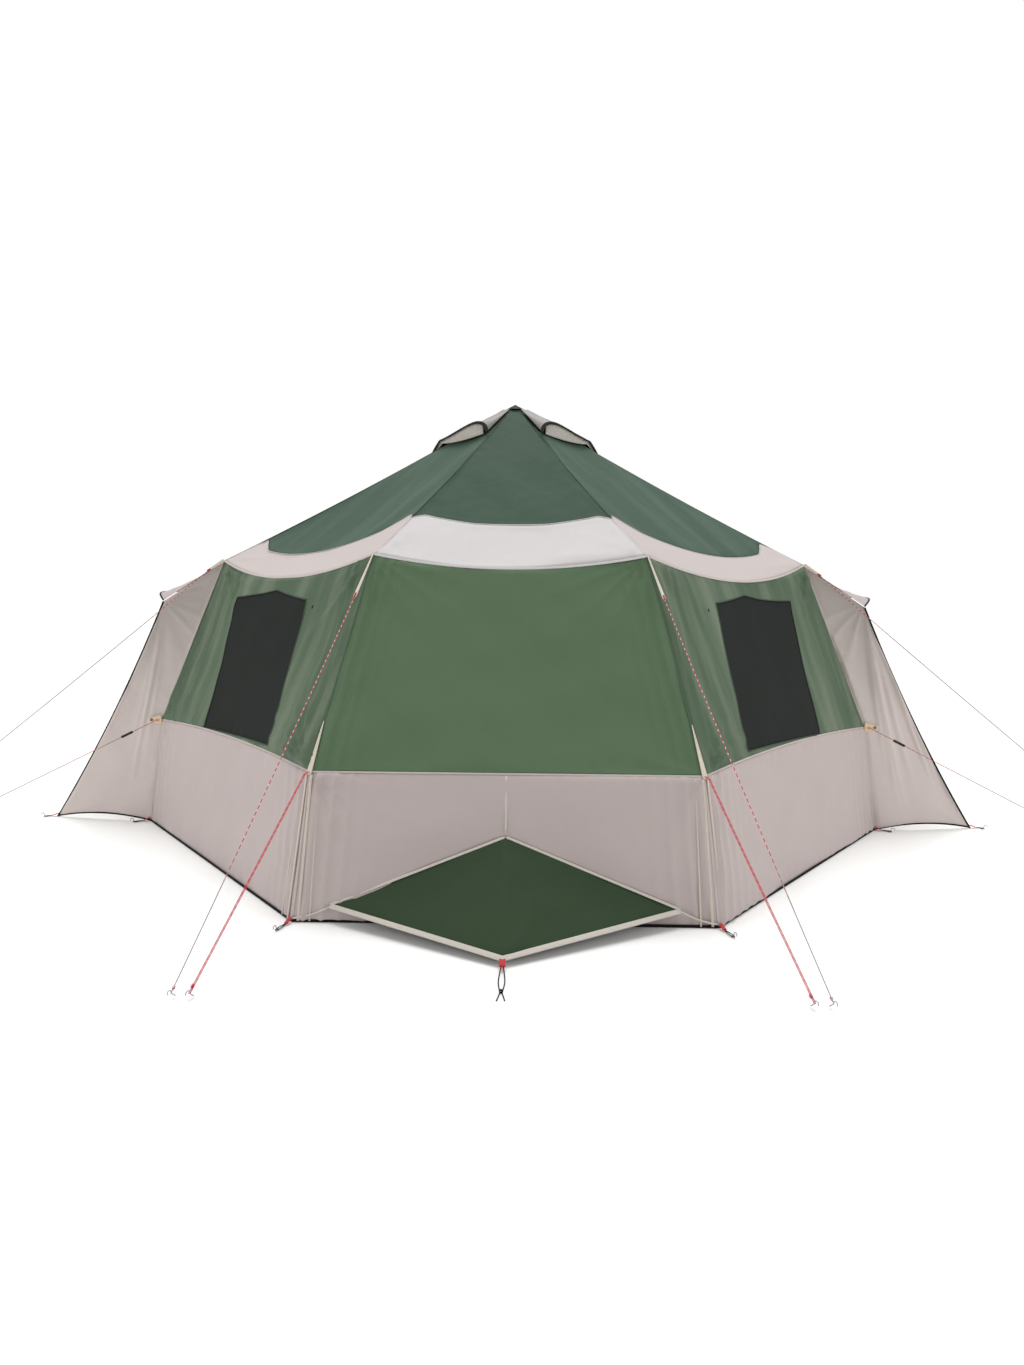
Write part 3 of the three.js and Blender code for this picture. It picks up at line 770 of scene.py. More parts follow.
CORD = {
    "eave": braid("eave_cord", "#d0202f", "#f0d8d6", 1.30),
    "knee": braid("knee_cord", "#cf2a3c", "#de6a74", 9.0),
    "side": braid("side_cord", "#d0202f", "#f0d8d6", 0.42),
    "low_side": braid("low_side_cord", "#c43444", "#b98d90", 0.50),
}
BLACK_CORD = webbing("elastic_cord", "#141415", "#0d0d0e", pitch=0.0022, sheen=0.01, gloss=0.08)
STEEL = metal("zinc_steel", "#a3a6a9", 0.26)
PEG_STEEL = metal("peg_steel", "#8f9294", 0.30)
NYLON = plastic("black_nylon", "#202022", "#161618")
ZIP_COIL = plastic("zip_coil", "#3b443b", "#2b322b", roughness=0.35)


# ---------- Cloth panels ----------

BAND_TOP = {"front": 0.800, "side": 0.905}  # where the pale band starts, as a share down a ridge
BAND_SAG = {"front": -0.006, "diagonal": 0.030, "side": 0.012}
# The band's top edge rises by each ridge: metres from the ridge, and rise as a share.
EAR = {"front": (0.060, 0.024), "diagonal": (0.030, 0.038), "side": (0.050, 0.022)}
ROOF_TOP = 0.070  # how far from the pole the roof's cloth starts


def panel_normal(facing, part):
    low, high = {
        "roof": (eave_corner, lambda n: APEX), "upper": (knee_corner, eave_corner),
        "lower": (floor_corner, knee_corner),
    }[part]
    a, b, top = low(facing), low(facing + 1), (high(facing) + high(facing + 1)) / 2
    normal = unit(np.cross(b - a, top - a))
    return normal if normal @ (outward(facing) + 0.2 * UP) > 0 else -normal


def band_line(facing, u):
    """Where the pale band starts, as a share of the way down from the apex."""
    kinds = [corner_kind(facing), corner_kind(facing + 1)]
    line = BAND_TOP[kinds[0]] + (BAND_TOP[kinds[1]] - BAND_TOP[kinds[0]]) * u
    line = line + BAND_SAG[panel_kind(facing)] * bow(u)
    width = np.linalg.norm(eave_corner(facing + 1) - eave_corner(facing)) * line
    place, rise = EAR[panel_kind(facing)]
    for off in (u * width, (1 - u) * width):
        line = line - rise * np.interp(off, (0, place, 2 * place, 6 * place), (0, 1, 0.72, 0))
    return line


def cut_of(points):
    """Size and area of the flat cut that a grid of points was pitched from."""
    a, b = points[:-1, :-1], points[1:, 1:]
    c, d = points[:-1, 1:], points[1:, :-1]
    area = np.linalg.norm(np.cross(b - a, d - c), axis=-1).sum() / 2
    across = np.linalg.norm(np.diff(points, axis=1), axis=-1).sum(1).max()
    down = np.linalg.norm(np.diff(points, axis=0), axis=-1).sum(0).max()
    return (float(across), float(down)), float(min(area, across * down))


def declare(piece, flat, area, nodes, held, rests_on, slot):
    """Hides the CAD nodes that the sheet stands for; its flat cut and what holds it are not used."""
    if nodes:
        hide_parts(*nodes)


def roof_relief(facing, seed):
    corners = (eave_corner(facing), eave_corner(facing + 1))

    def height(points, uu, vv):
        soft = 0.010 * ripples(points, 1.3, seed) + 0.004 * ripples(points, 0.40, seed + 1)
        pulls = sum(
            fan(points, spot, seed + 2 + i, 0.45, 6) for i, spot in enumerate(corners)
        )
        width = np.linalg.norm(points - corners[0], axis=-1)
        near = np.minimum(uu, 1 - uu) * np.linalg.norm(corners[1] - corners[0])
        gather = pucker(width, near, seed + 5, 0.11, 0.07)
        return soft + 0.007 * pulls + 0.0030 * gather

    return height


def wall_relief(facing, seed, pleats=0.006, corners=(), creases=0.008):
    """Soft hang, pleats along the side seams, and creases out of the corners under tension."""
    width = np.linalg.norm(knee_corner(facing + 1) - knee_corner(facing))

    def height(points, uu, vv):
        soft = 0.009 * ripples(points, 1.2, seed) + 0.0034 * ripples(points, 0.30, seed + 1)
        pulls = sum(
            fan(points, spot, seed + 2 + i, 0.42, 9) for i, spot in enumerate(corners)
        )
        total = soft + creases * pulls
        for k, side in enumerate((uu, 1 - uu)):
            off = side * width
            wander = 0.012 * ripples(points, 0.9, seed + 11 + k)
            folds = crest((off + wander) * 2 * math.pi / 0.074 + seed + k)
            total = total + pleats * folds * np.exp(-((off / 0.20) ** 2)) * np.clip(off / 0.02, 0, 1)
        low = vv * 1.05
        total = total + 0.0038 * pucker(uu * width, low, seed + 17, 0.085, 0.07)
        high = (1 - vv) * 1.05
        return total + 0.0030 * pucker(uu * width, high, seed + 19, 0.080, 0.06)

    return height


def ramp(count):
    return np.linspace(0, 1, count + 1)


SEAMS = []


def seam(name, path, normal, material, width, thick, bend=0.0):
    """Notes a seam tape; all of them are made once every panel is."""
    SEAMS.append((name, path, normal, material, tape(width, thick, bend)))


BEND = {"roof": 0.20, "upper": 0.36, "lower": 0.40}


def roof(facing, name):
    kind = panel_kind(facing)
    normal = panel_normal(facing, "roof")
    width = np.linalg.norm(eave_corner(facing + 1) - eave_corner(facing))
    places = {EAR[kind][0] / width, 1 - EAR[kind][0] / width}
    u = np.array(sorted(set(ramp(steps(width, SMOOTH_GRID))) | places))
    start = ROOF_TOP / np.linalg.norm(eave_corner(facing)[:2])

    def green(uu, vv):
        return roof_point(facing, uu, start + vv * (band_line(facing, uu) - start))

    def pale(uu, vv):
        line = band_line(facing, uu)
        return roof_point(facing, uu, line + vv * (1 - line))

    relief = roof_relief(facing, 100 + 10 * facing)
    for part, length, point_at, materials, hold, nodes, above in (
        ("cloth", 1.9, green, ROOF, (0.04, 0.03), [f"roof_{name}"], "pole_cap"),
        ("band", 0.42, pale, ROOF_BAND, (0.03, 0.12), [], f"roof_cloth_{name}"),
    ):
        piece, plain = cloth(
            f"roof_{part}_{name}", u, ramp(steps(length, SMOOTH_GRID)), point_at, normal,
            materials[kind], "tent", relief, hold,
        )
        slot = "roof" if part == "cloth" else "band"
        declare(piece, *cut_of(plain), nodes, "stretched", above, slot)
    upper = roof_point(facing, u, band_line(facing, u)) + normal * 0.0010
    seam(f"band_seam_{name}", upper, normal, ROOF_BAND[kind], 0.006, 0.0010)
    wall = panel_normal(facing, "upper")
    eave = eave_point(facing, u)
    hem, lip = eave + wall * 0.0030 - UP * 0.003, eave + wall * 0.0020 - UP * 0.0145
    seam(f"eave_hem_{name}", hem, wall, ROOF_BAND[kind], 0.013, 0.0024)
    seam(f"eave_lip_{name}", lip, wall, WALL_TAPE, 0.008, 0.0020)


for facing, name in enumerate(FACINGS):
    roof(facing, name)


def wall_width(facing, v, lower):
    """Width of a side wall at the share v of its height."""
    a, b = (floor_corner, knee_corner) if lower else (knee_corner, eave_corner)
    ends = [np.linalg.norm(at(facing + 1) - at(facing)) for at in (a, b)]
    return ends[0] + (ends[1] - ends[0]) * v


def door_columns(facing, v, lower, half):
    """u values of a side wall's grid lines: they keep to the door's upright edges."""
    edge = half / wall_width(facing, v, lower)
    left, right = 0.5 - edge, 0.5 + edge
    parts = (steps(0.45), steps(2 * half), steps(0.45))
    return np.concatenate([
        left[:, None] * ramp(parts[0])[None, :-1],
        left[:, None] + (right - left)[:, None] * ramp(parts[1])[None, :-1],
        right[:, None] + (1 - right)[:, None] * ramp(parts[2])[None, :],
    ], 1), parts


def door_rows(facing, lower):
    """v values of a side wall's rows, with one on the door's lower or upper edge, and its index."""
    if lower:
        cut = DOOR["sill"] / KNEE_HEIGHT
        count = steps(KNEE_HEIGHT - DOOR["sill"])
        return np.concatenate([ramp(3)[:-1] * cut, cut + (1 - cut) * ramp(count)]), 3
    cut = (DOOR["top"] - KNEE_HEIGHT) / (EAVE_HEIGHT - KNEE_HEIGHT)
    count = steps(DOOR["top"] - KNEE_HEIGHT)
    rest = ramp(steps(EAVE_HEIGHT - DOOR["top"]))
    return np.concatenate([ramp(count)[:-1] * cut, cut + (1 - cut) * rest]), count


def side_wall(facing, name, lower):
    part = "lower" if lower else "upper"
    v, index = door_rows(facing, lower)
    uu, parts = door_columns(facing, v, lower, DOOR["half"])
    vv = np.broadcast_to(v[:, None], uu.shape)

    def above_the_knee(a, b):
        # The eave's hang is laid on above the door's head, so that its edges stay straight.
        plain = lerp(knee_point(facing, a), edge_point(facing, a, eave_corner), b)
        share = np.clip((b - v[index]) / (1 - v[index]), 0, 1)
        drop = EAVE_DROP["side"] * bow(a) * share
        return plain + drop[..., None] * down_the_wall(facing)

    opening = range(parts[0], parts[0] + parts[1])
    piece, plain = cloth(
        f"{part}_wall_cloth_{name}", uu, vv,
        partial(lower_wall_point, facing) if lower else above_the_knee,
        panel_normal(facing, part), BAND if lower else WALL, "tent",
        wall_relief(facing, 300 + facing + 40 * lower, 0.004),
        lambda a, b: edge_hold(a, b) * np.clip((np.abs(a - 0.5) - 0.25) / 0.06, 0, 1),
        lambda c, r: c in opening and (r >= index if lower else r < index),
    )
    flat, area = cut_of(plain)
    area -= 2 * DOOR["half"] * flat[1] * (1 - v[index] if lower else v[index])
    declare(piece, flat, area, [f"{part}_wall_{name}"], "stretched", f"roof_band_{name}",
            "band" if lower else "wall")


def window_frame(facing):
    """Origin and axes of a diagonal wall's plane, u from the front corner to the side corner."""
    side, front = facing, facing + 1
    if corner_kind(facing) == "front":
        side, front = front, side
    u_axis = unit(knee_corner(side) - knee_corner(front))
    origin = (knee_corner(facing) + knee_corner(facing + 1)) / 2
    v_axis = (eave_corner(facing) + eave_corner(facing + 1)) / 2 - origin
    v_axis = unit(v_axis - (v_axis @ u_axis) * u_axis)
    return origin, u_axis, v_axis


def window_loop(facing, samples):
    """The window's outline as wall shares (u, v), and the wall's own edge beside each point."""
    origin, u_axis, v_axis = window_frame(facing)
    target = origin + np.array([u * u_axis + v * v_axis for u, v in WINDOW])
    shares = np.full((len(WINDOW), 2), 0.5)
    for _ in range(12):
        base = upper_wall_point(facing, shares[:, 0], shares[:, 1])
        columns = []
        for k in range(2):
            moved = shares.copy()
            moved[:, k] += 1e-4
            columns.append((upper_wall_point(facing, moved[:, 0], moved[:, 1]) - base) / 1e-4)
        for i in range(len(WINDOW)):
            step = np.linalg.lstsq(
                np.stack([columns[0][i], columns[1][i]], 1), target[i] - base[i], rcond=None,
            )[0]
            shares[i] += step
    front = 0.0 if corner_kind(facing) == "front" else 1.0
    edge = np.array([
        (front, 1), (0.5, 1), (1 - front, 1), (1 - front, 0), (front, 0),
    ], float)
    inner, outer = [], []
    for i, count in enumerate(samples):
        j = (i + 1) % len(samples)
        share = np.linspace(0, 1, count, endpoint=False)[:, None]
        inner.append(shares[i] + (shares[j] - shares[i]) * share)
        outer.append(edge[i] + (edge[j] - edge[i]) * share)
    inner, outer = np.concatenate(inner), np.concatenate(outer)
    return np.vstack([inner, inner[:1]]), np.vstack([outer, outer[:1]])


def window_wall(facing, name):
    normal = panel_normal(facing, "upper")
    inner, outer = window_loop(facing, [44, 48, 84, 90, 84])
    rings = ramp(30)
    seed = 500 + 20 * facing
    corners = [upper_wall_point(facing, np.array(u), np.array(v)) for u, v in (
        (0.02, 0.98), (0.98, 0.98), (0.02, 0.02), (0.98, 0.02),
    )]
    relief = wall_relief(facing, seed, 0.016, corners, 0.017)

    point_at = partial(upper_wall_point, facing)
    q = outer[None] + (inner - outer)[None] * rings[:, None, None]
    piece, _ = cloth(
        f"upper_wall_cloth_{name}", q[..., 0], q[..., 1], point_at, normal, WINDOW_WALL, "tent", relief,
        hold=(0.02, 0.03), weld=True,
    )
    centre = inner[:-1].mean(0)
    q = centre[None] + (inner - centre)[None] * ramp(26)[:, None, None]
    net, _ = cloth(
        f"window_net_{name}", q[..., 0], q[..., 1], point_at, normal, NET, "tent",
        lambda p, uu, vv: relief(p, uu, vv) - 0.0015,
        hold=(0.02, 0.03), weld=True,
    )
    flat, area = cut_of(upper_wall_point(facing, *np.meshgrid(ramp(30), ramp(30))))
    outline = np.array(WINDOW)
    hole = 0.5 * abs(np.dot(outline[:, 0], np.roll(outline[:, 1], 1)) - np.dot(
        outline[:, 1], np.roll(outline[:, 0], 1)))
    declare(piece, flat, area - hole, [f"upper_wall_{name}"], "stretched", f"roof_band_{name}",
            "wall")
    size = tuple(outline.max(0) - outline.min(0))
    declare(net, size, hole, [f"window_mesh_{name}"], "stretched", piece.name, "mesh")
    path = upper_wall_point(facing, inner[:, 0], inner[:, 1])
    lift = relief(path, inner[:, 0], inner[:, 1]) * edge_hold(inner[:, 0], inner[:, 1], 0.02, 0.03)
    path = path + normal * (lift + 0.0006)[:, None]
    seam(f"window_seam_{name}", path, normal, WINDOW_TAPE, 0.008, 0.0010)


def plain_wall(facing, name, lower):
    part = "lower" if lower else "upper"
    width = np.linalg.norm(floor_corner(facing + 1) - floor_corner(facing))
    place = lower_wall_point if lower else upper_wall_point
    height = KNEE_HEIGHT if lower else 1.13
    corners = [place(facing, np.array(u), np.array(v)) for u, v in (
        (0.01, 0.99), (0.99, 0.99), (0.01, 0.01), (0.99, 0.01),
    )]
    seed = 700 + 20 * facing + 7 * lower
    relief = wall_relief(
        facing, seed, 0.013 if lower else 0.010, corners[:2] if lower else corners, 0.008,
    )
    piece, plain = cloth(
        f"{part}_wall_cloth_{name}", ramp(steps(width)), ramp(steps(height)),
        partial(place, facing), panel_normal(facing, part),
        BAND if lower else WALL, "tent", relief, hold=(0.02, 0.03),
    )
    over = f"upper_wall_cloth_{name}" if lower else f"roof_band_{name}"
    declare(piece, *cut_of(plain), [f"{part}_wall_{name}"], "stretched", over,
            "band" if lower else "wall")


for facing, name in enumerate(FACINGS):
    kind = panel_kind(facing)
    if kind == "side":
        side_wall(facing, name, False)
        side_wall(facing, name, True)
    else:
        window_wall(facing, name) if kind == "diagonal" else plain_wall(facing, name, False)
        plain_wall(facing, name, True)


def door(facing, name):
    """The door leaf, one cloth from the sill to the head, on the wall's kinked line."""
    gap = DOOR["clearance"]
    sill = (DOOR["sill"] + gap) / KNEE_HEIGHT
    head = (DOOR["top"] - gap - KNEE_HEIGHT) / (EAVE_HEIGHT - KNEE_HEIGHT)
    low = sill + (1 - sill) * ramp(steps(0.62))
    high = head * ramp(steps(0.75))[1:]
    half = DOOR["half"] - gap
    u = ramp(steps(2 * half))
    rows = []
    for v, lower in [(v, True) for v in low] + [(v, False) for v in high]:
        share = 0.5 + (2 * u - 1) * half / wall_width(facing, v, lower)
        if lower:
            rows.append(lower_wall_point(facing, share, np.full_like(share, v)))
        else:
            straight = edge_point(facing, share, eave_corner)
            rows.append(lerp(knee_point(facing, share), straight, np.full_like(share, v)))
    grid = np.array(rows)
    normal = panel_normal(facing, "upper")
    vv = np.linspace(0, 1, len(rows))
    relief = wall_relief(facing, 900 + facing, 0.004)
    leaf, plain = cloth(
        f"door_cloth_{name}", u, vv, lambda uu, _: grid, normal, WALL, f"door_{name}", relief,
        hold=lambda a, b: edge_hold(a, b, 0.05, 0.04) * 0.8,
    )
    declare(leaf, *cut_of(plain), [f"door_{name}"], "hung", f"upper_wall_cloth_{name}", "wall")
    edge = np.concatenate([grid[::-1, 0], grid[0, 1:], grid[1:, -1]])
    inset = unit(grid.mean((0, 1)) - edge) * 0.010
    sweep(
        f"door_zip_tape_{name}", edge + inset + normal * 0.0006, normal, tape(0.020, 0.0012),
        BLACK_BINDING, f"door_{name}",
    )
    frame_edge = edge - unit(grid.mean((0, 1)) - edge) * 0.0055
    sweep(
        f"door_zip_{name}", frame_edge + normal * 0.0015, normal, ring(0.0028, 8, 0.8), ZIP_COIL,
        "tent",
    )
    for k, spot in enumerate((frame_edge[len(frame_edge) // 2 - 6], frame_edge[18])):
        zip_slider(f"door_zip_slider_{k + 1}_{name}", spot + normal * 0.005, normal)


def zip_slider(name, spot, normal):
    """A slider body with its pull tab hanging below it."""
    down = unit(-UP - (-UP @ normal) * normal)
    body = [spot - down * 0.008, spot - down * 0.004, spot + down * 0.004, spot + down * 0.008]
    section = [(-0.0055, -0.002), (-0.0062, 0.0), (-0.0045, 0.0032)]
    section += [(-across, out) for across, out in section[::-1]]
    sweep(name, body, normal, section, STEEL, "tent", 0.002,
          taper=lambda t: 0.75 + 0.25 * np.sin(t * math.pi))
    pull = [spot + down * (0.006 + 0.006 * k) + normal * (0.004 + 0.0012 * k) for k in range(8)]
    section = [(-0.0035, -0.0009), (-0.0038, 0.0), (-0.0035, 0.0009)]
    section += [(-across, out) for across, out in section[::-1]]
    sweep(f"{name}_pull", pull, normal, section, BLACK_CORD, "tent", 0.003)


def fold_lines(points, a, b, seed, count, spread, depth):
    """Long straight tension folds that fan slightly from point a towards point b."""
    axis = unit(b - a)
    side = unit(np.cross(axis, np.array([0, 1.0, 0])))
    rel = points - a
    run = rel @ axis
    off = rel @ side
    draw = np.random.default_rng(seed)
    total = np.zeros(points.shape[:-1])
    for k in range(count):
        slope = draw.uniform(-spread, spread)
        width = draw.uniform(0.012, 0.022)
        start, end = draw.uniform(0.05, 0.25), draw.uniform(0.7, 1.0) * np.linalg.norm(b - a)
        along = np.clip((run - start) / 0.3, 0, 1) * np.clip((end - run) / 0.35, 0, 1)
        total += along * np.exp(-(((off - slope * run) / width) ** 2)) * draw.uniform(0.6, 1)
    return depth * total


def porch(facing, name):
    side = along_porch(facing)
    for n in (facing, facing + 1):
        end = "front" if across_porch(n) < 0 else "back"
        key = f"{end}_{name}"
        outer = np.array([0, across_porch(n), 0.0])
        top = wing_top(n)
        strong = 1.5 if side > 0 else 0.6

        def relief(points, uu, vv, n=n, top=top, strong=strong):
            soft = 0.012 * ripples(points, 1.1, 40 + n) + 0.004 * ripples(points, 0.30, 60 + n)
            low = floor_corner(n) * 0.45 + wing_tip(n) * 0.55
            folds = fold_lines(points, top, low, 80 + n, 7, 0.20, 0.008 * strong)
            pulls = fan(points, top, 90 + n, 0.5, 7) + fan(points, wing_tip(n), 95 + n, 0.3, 6)
            gather = pucker(vv * 1.8, uu * 0.6, 70 + n, 0.09, 0.07)
            return soft + folds + 0.007 * pulls + 0.003 * gather

        wing, plain = cloth(
            f"wing_cloth_{key}", ramp(steps(0.68)), ramp(steps(1.75)),
            partial(wing_point, n), outer, WING_CLOTH_PAINTED_LIGHT, "tent", relief,
            lambda uu, vv: edge_hold(uu, vv, 0.05, 0.02) * 0.95,
        )
        declare(wing, *cut_of(plain), [f"wing_{key}"], "hung", f"canopy_cloth_{name}", "band")
        v = ramp(60)
        front = wing_point(n, np.ones_like(v), v)
        sweep(
            f"wing_binding_{key}", front, outer, ring(0.0055, 8, 0.75), BLACK_BINDING, "tent",
        )
        u = ramp(30)
        hem = wing_point(n, u, np.zeros_like(u))
        sweep(
            f"wing_hem_{key}", hem + UP * 0.006 + outer * 0.002, outer, tape(0.010, 0.003),
            BLACK_BINDING, "tent",
        )
        inner = wing_point(n, np.zeros_like(v), v) + outer * 0.0012
        seam(f"wing_seam_{key}", inner, outer, BAND_TAPE, 0.012, 0.0014)

    def canopy_relief(points, uu, vv):
        pulls = fan(points, wing_top(facing), 31, 0.5, 6) + fan(
            points, wing_top(facing + 1), 33, 0.5, 6)
        across = pucker(uu * 1.8, (1 - vv) * 0.5, 35, 0.10, 0.08)
        return 0.008 * ripples(points, 0.9, 30 + facing) + 0.008 * pulls + 0.003 * across

    cover, plain = cloth(
        f"canopy_cloth_{name}", ramp(steps(1.9)), ramp(steps(0.6)),
        partial(canopy_point, facing), UP, BAND, "tent", canopy_relief,
        hold=(0.03, 0.06),
    )
    declare(cover, *cut_of(plain), [f"canopy_{name}"], "stretched", f"roof_band_{name}", "band")
    u = ramp(70)
    edge = canopy_point(facing, u, np.ones_like(u))
    sweep(f"canopy_binding_{name}", edge, UP, ring(0.0055, 8, 0.75), BLACK_BINDING, "tent")


def roof_vent(side, name):
    body = f"vent_{name}"

    def relief(points, uu, vv):
        return 0.005 * ripples(points, 0.5, 21) + 0.003 * ripples(points, 0.18, 23)

    cap, plain = cloth(
        f"vent_cloth_{name}", ramp(150), ramp(40),
        partial(vent_point, side), UP, VENT_CLOTH, body, relief,
        hold=(0.06, 0.1),
    )
    cap.data.materials.append(LINING)
    cap.modifiers["thickness"].material_offset = 1
    declare(cap, *cut_of(plain), [f"vent_cap_{name}"], "stretched", f"roof_cloth_{name}", "vent")
    u = ramp(160)
    rim = vent_point(side, u, np.ones_like(u))
    rim_tube = sweep(
        f"vent_rim_{name}", rim - UP * 0.003, UP, ring(0.0085, 12, 0.9), RIM_CLOTH, body, size=0.014,
        taper=lambda t: 0.72 + 1.00 * smooth_step((np.abs(2 * t - 1) - 0.72) / 0.24),
    )
    # Dark netting closes the roof's opening under the cap, its dark tone partly painted shade under the
    # rim, and a pale one stands in its mouths.
    net, plain = cloth(
        f"vent_net_{name}", 0.03 + 0.94 * ramp(60), 0.12 + 0.78 * ramp(26),
        lambda uu, vv: vent_point(side, uu, vv, lift=0.0) + UP * 0.006, UP, NET, "tent",
        lambda p, uu, vv: 0.002 * ripples(p, 0.3, 27),
    )
    declare(net, *cut_of(plain), [], "stretched", f"roof_cloth_{name}", "mesh")
    curtain, plain = cloth(
        f"vent_curtain_{name}", 0.030 + 0.94 * ramp(120), ramp(6),
        lambda uu, vv: lerp(
            vent_point(side, uu, np.full_like(uu, 0.955), lift=0.0) + UP * 0.004,
            vent_point(side, uu, np.full_like(uu, 0.965)) - UP * 0.004, vv,
        ), np.array([side, 0, 0.2]), PALE_NET, body,
        lambda p, uu, vv: 0.002 * np.sin(uu * 190) * bow(vv),
    )
    declare(curtain, *cut_of(plain), [], "hung", cap.name, "mesh")


def hood(side, name):
    facing_to = np.array([0, side * 0.7, 0.7])
    outer = np.array([0, side, 0.0])

    def relief(points, uu, vv):
        pulls = fan(points, hood_point(side, np.array(0.5), np.array(1.0)), 43, 0.4, 7)
        return 0.006 * ripples(points, 0.8, 41) + 0.006 * pulls + 0.0020 * ripples(points, 0.2, 45)

    cover, plain = cloth(
        f"hood_cloth_{name}", ramp(72), ramp(24), partial(hood_point, side),
        facing_to, HOOD_CLOTH_PAINTED_SHADE, "tent", relief, hold=(0.03, 0.05),
    )
    declare(cover, *cut_of(plain), [f"hood_{name}"], "stretched", f"lower_wall_cloth_{name}",
            "hood")
    u = ramp(90)
    low = hood_point(side, u, np.ones_like(u)) + UP * 0.002
    sweep(
        f"hood_binding_low_{name}", low, facing_to, tape(0.024, 0.0030), WHITE_BINDING, "tent",
    )
    high = hood_point(side, u, np.zeros_like(u)) + outer * 0.0015
    sweep(
        f"hood_binding_high_{name}", high, facing_to, tape(0.013, 0.0022), WHITE_BINDING, "tent",
    )
    for k, end in enumerate((0.0, 1.0)):
        start = hood_point(side, np.array(end), np.array(1.0))
        foot = floor_corner(((6, 7) if side < 0 else (3, 2))[k]) + UP * 0.018
        line = np.linspace(start, foot, 10) + outer * 0.004
        line[:, 2] -= 0.010 * np.sin(np.linspace(0, math.pi, 10))
        sweep(f"hood_piping_{k + 1}_{name}", line, outer, ring(0.004), WHITE_BINDING, "tent")


def groundsheet():
    radius = FLOOR_RADIUS - 0.024
    rim = np.array([at_angle(corner_angle(n), radius) for n in range(8)])
    loop = np.concatenate([
        np.linspace(rim[n], rim[(n + 1) % 8], 24, endpoint=False) for n in range(8)
    ])
    loop = np.vstack([loop, loop[:1]])
    share = ramp(40)[1:]
    grid = loop[None] * np.concatenate([[0.012], share])[:, None, None]
    grid[..., 2] = 0.0018

    def relief(points, uu, vv):
        fold = crest(ripples(points, 0.9, 3) * 4)
        near_wall = np.clip((1 - vv) / 0.08, 0, 1)
        return (0.0010 + 0.0020 * fold) * near_wall

    floor, plain = cloth(
        "groundsheet_cloth", ramp(grid.shape[1] - 1), ramp(grid.shape[0] - 1),
        lambda uu, vv: grid, UP, SHEET_CLOTH, "tent", relief, weld=True,
    )
    across = 2 * radius * math.cos(math.radians(22.5))
    octagon = 4 * radius**2 * math.sin(math.radians(45))
    declare(floor, (across, across), octagon, ["groundsheet"], "laid", "ground", "groundsheet")


def apex_cone():
    reach, _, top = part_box("apex_cap")[1]
    drop = (APEX_HEIGHT - EAVE_HEIGHT) / np.linalg.norm(eave_corner(1)[:2])

    def cone(uu, vv):
        r = 0.003 + vv * (reach - 0.003)
        a = 2 * math.pi * uu
        gore = 0.0015 * np.abs(np.cos(4 * (a - math.radians(22.5)))) ** 6
        z = top - 0.001 - drop * r - 0.003 + gore * vv
        return np.stack([r * np.cos(a), r * np.sin(a), z], -1)

    tip, plain = cloth(
        "apex_cone", ramp(64), ramp(12), cone, UP, RIM_CLOTH, "tent",
        lambda p, uu, vv: 0.0008 * np.sin(uu * 2 * math.pi * 16) * vv, weld=True,
    )
    (_, down), area = cut_of(plain)
    declare(tip, (2 * down, 2 * down), area, ["apex_cap"], "stretched", "pole_cap", "roof")


for facing, side in ((0, 1), (4, -1)):
    door(facing, FACINGS[facing])
    porch(facing, FACINGS[facing])
    roof_vent(side, FACINGS[facing])
hood(-1, "front")
hood(1, "back")
groundsheet()
apex_cone()

# ---------- Seams along the tent's lines ----------

CORNER_PLEATS = ((0.012, 0.030, 0.013), (0.050, 0.085, 0.008))  # off the corner: top, foot; width
for n in range(8):
    radial = at_angle(corner_angle(n), 1)
    t = np.linspace(0.045, 1, 60)
    ridge = lerp(APEX, eave_corner(n), t)
    ridge[:, 2] -= ROOF_HOLLOW * bow(t)
    lift = unit(radial * 0.5 + UP * 0.87)
    ridge = ridge + lift * 0.0004
    change = BAND_TOP[corner_kind(n)]
    green, pale = ridge[t <= change + 0.004], ridge[t >= change - 0.004]
    seam(f"ridge_seam_{n}", green, lift, ROOF_TAPE, 0.012, 0.0007, BEND["roof"])
    seam(f"ridge_band_{n}", pale, lift, ROOF_BAND["side"], 0.012, 0.0007, BEND["roof"])
    upper = np.linspace(eave_corner(n), knee_corner(n), 24)
    seam(f"corner_seam_{n}", upper, radial, WALL_TAPE, 0.012, 0.0016, BEND["upper"])
    lower = np.linspace(knee_corner(n), floor_corner(n) + UP * 0.004, 24)
    seam(f"corner_band_{n}", lower, radial, BAND_TAPE, 0.014, 0.0016, BEND["lower"])
    if corner_kind(n) == "side":
        continue
    # The lower band's ends are taken in by pleats on each side of a front corner; each is a raised
    # strip, paler than the band as a painted highlight on its crest.
    width = np.linalg.norm(floor_corner(n) - floor_corner(n + 1))
    v = ramp(24)
    for k, facing in enumerate(((n - 1) % 8, n)):
        out = panel_normal(facing, "lower")
        for j, (top, foot, broad) in enumerate(CORNER_PLEATS):
            off = (top * v + foot * (1 - v)) / width
            path = lower_wall_point(facing, 1 - off if k == 0 else off, 0.01 + 0.97 * v)
            seam(f"corner_pleat_{n}_{k}_{j}", path + out * 0.004, out, PLEAT, broad, 0.005)
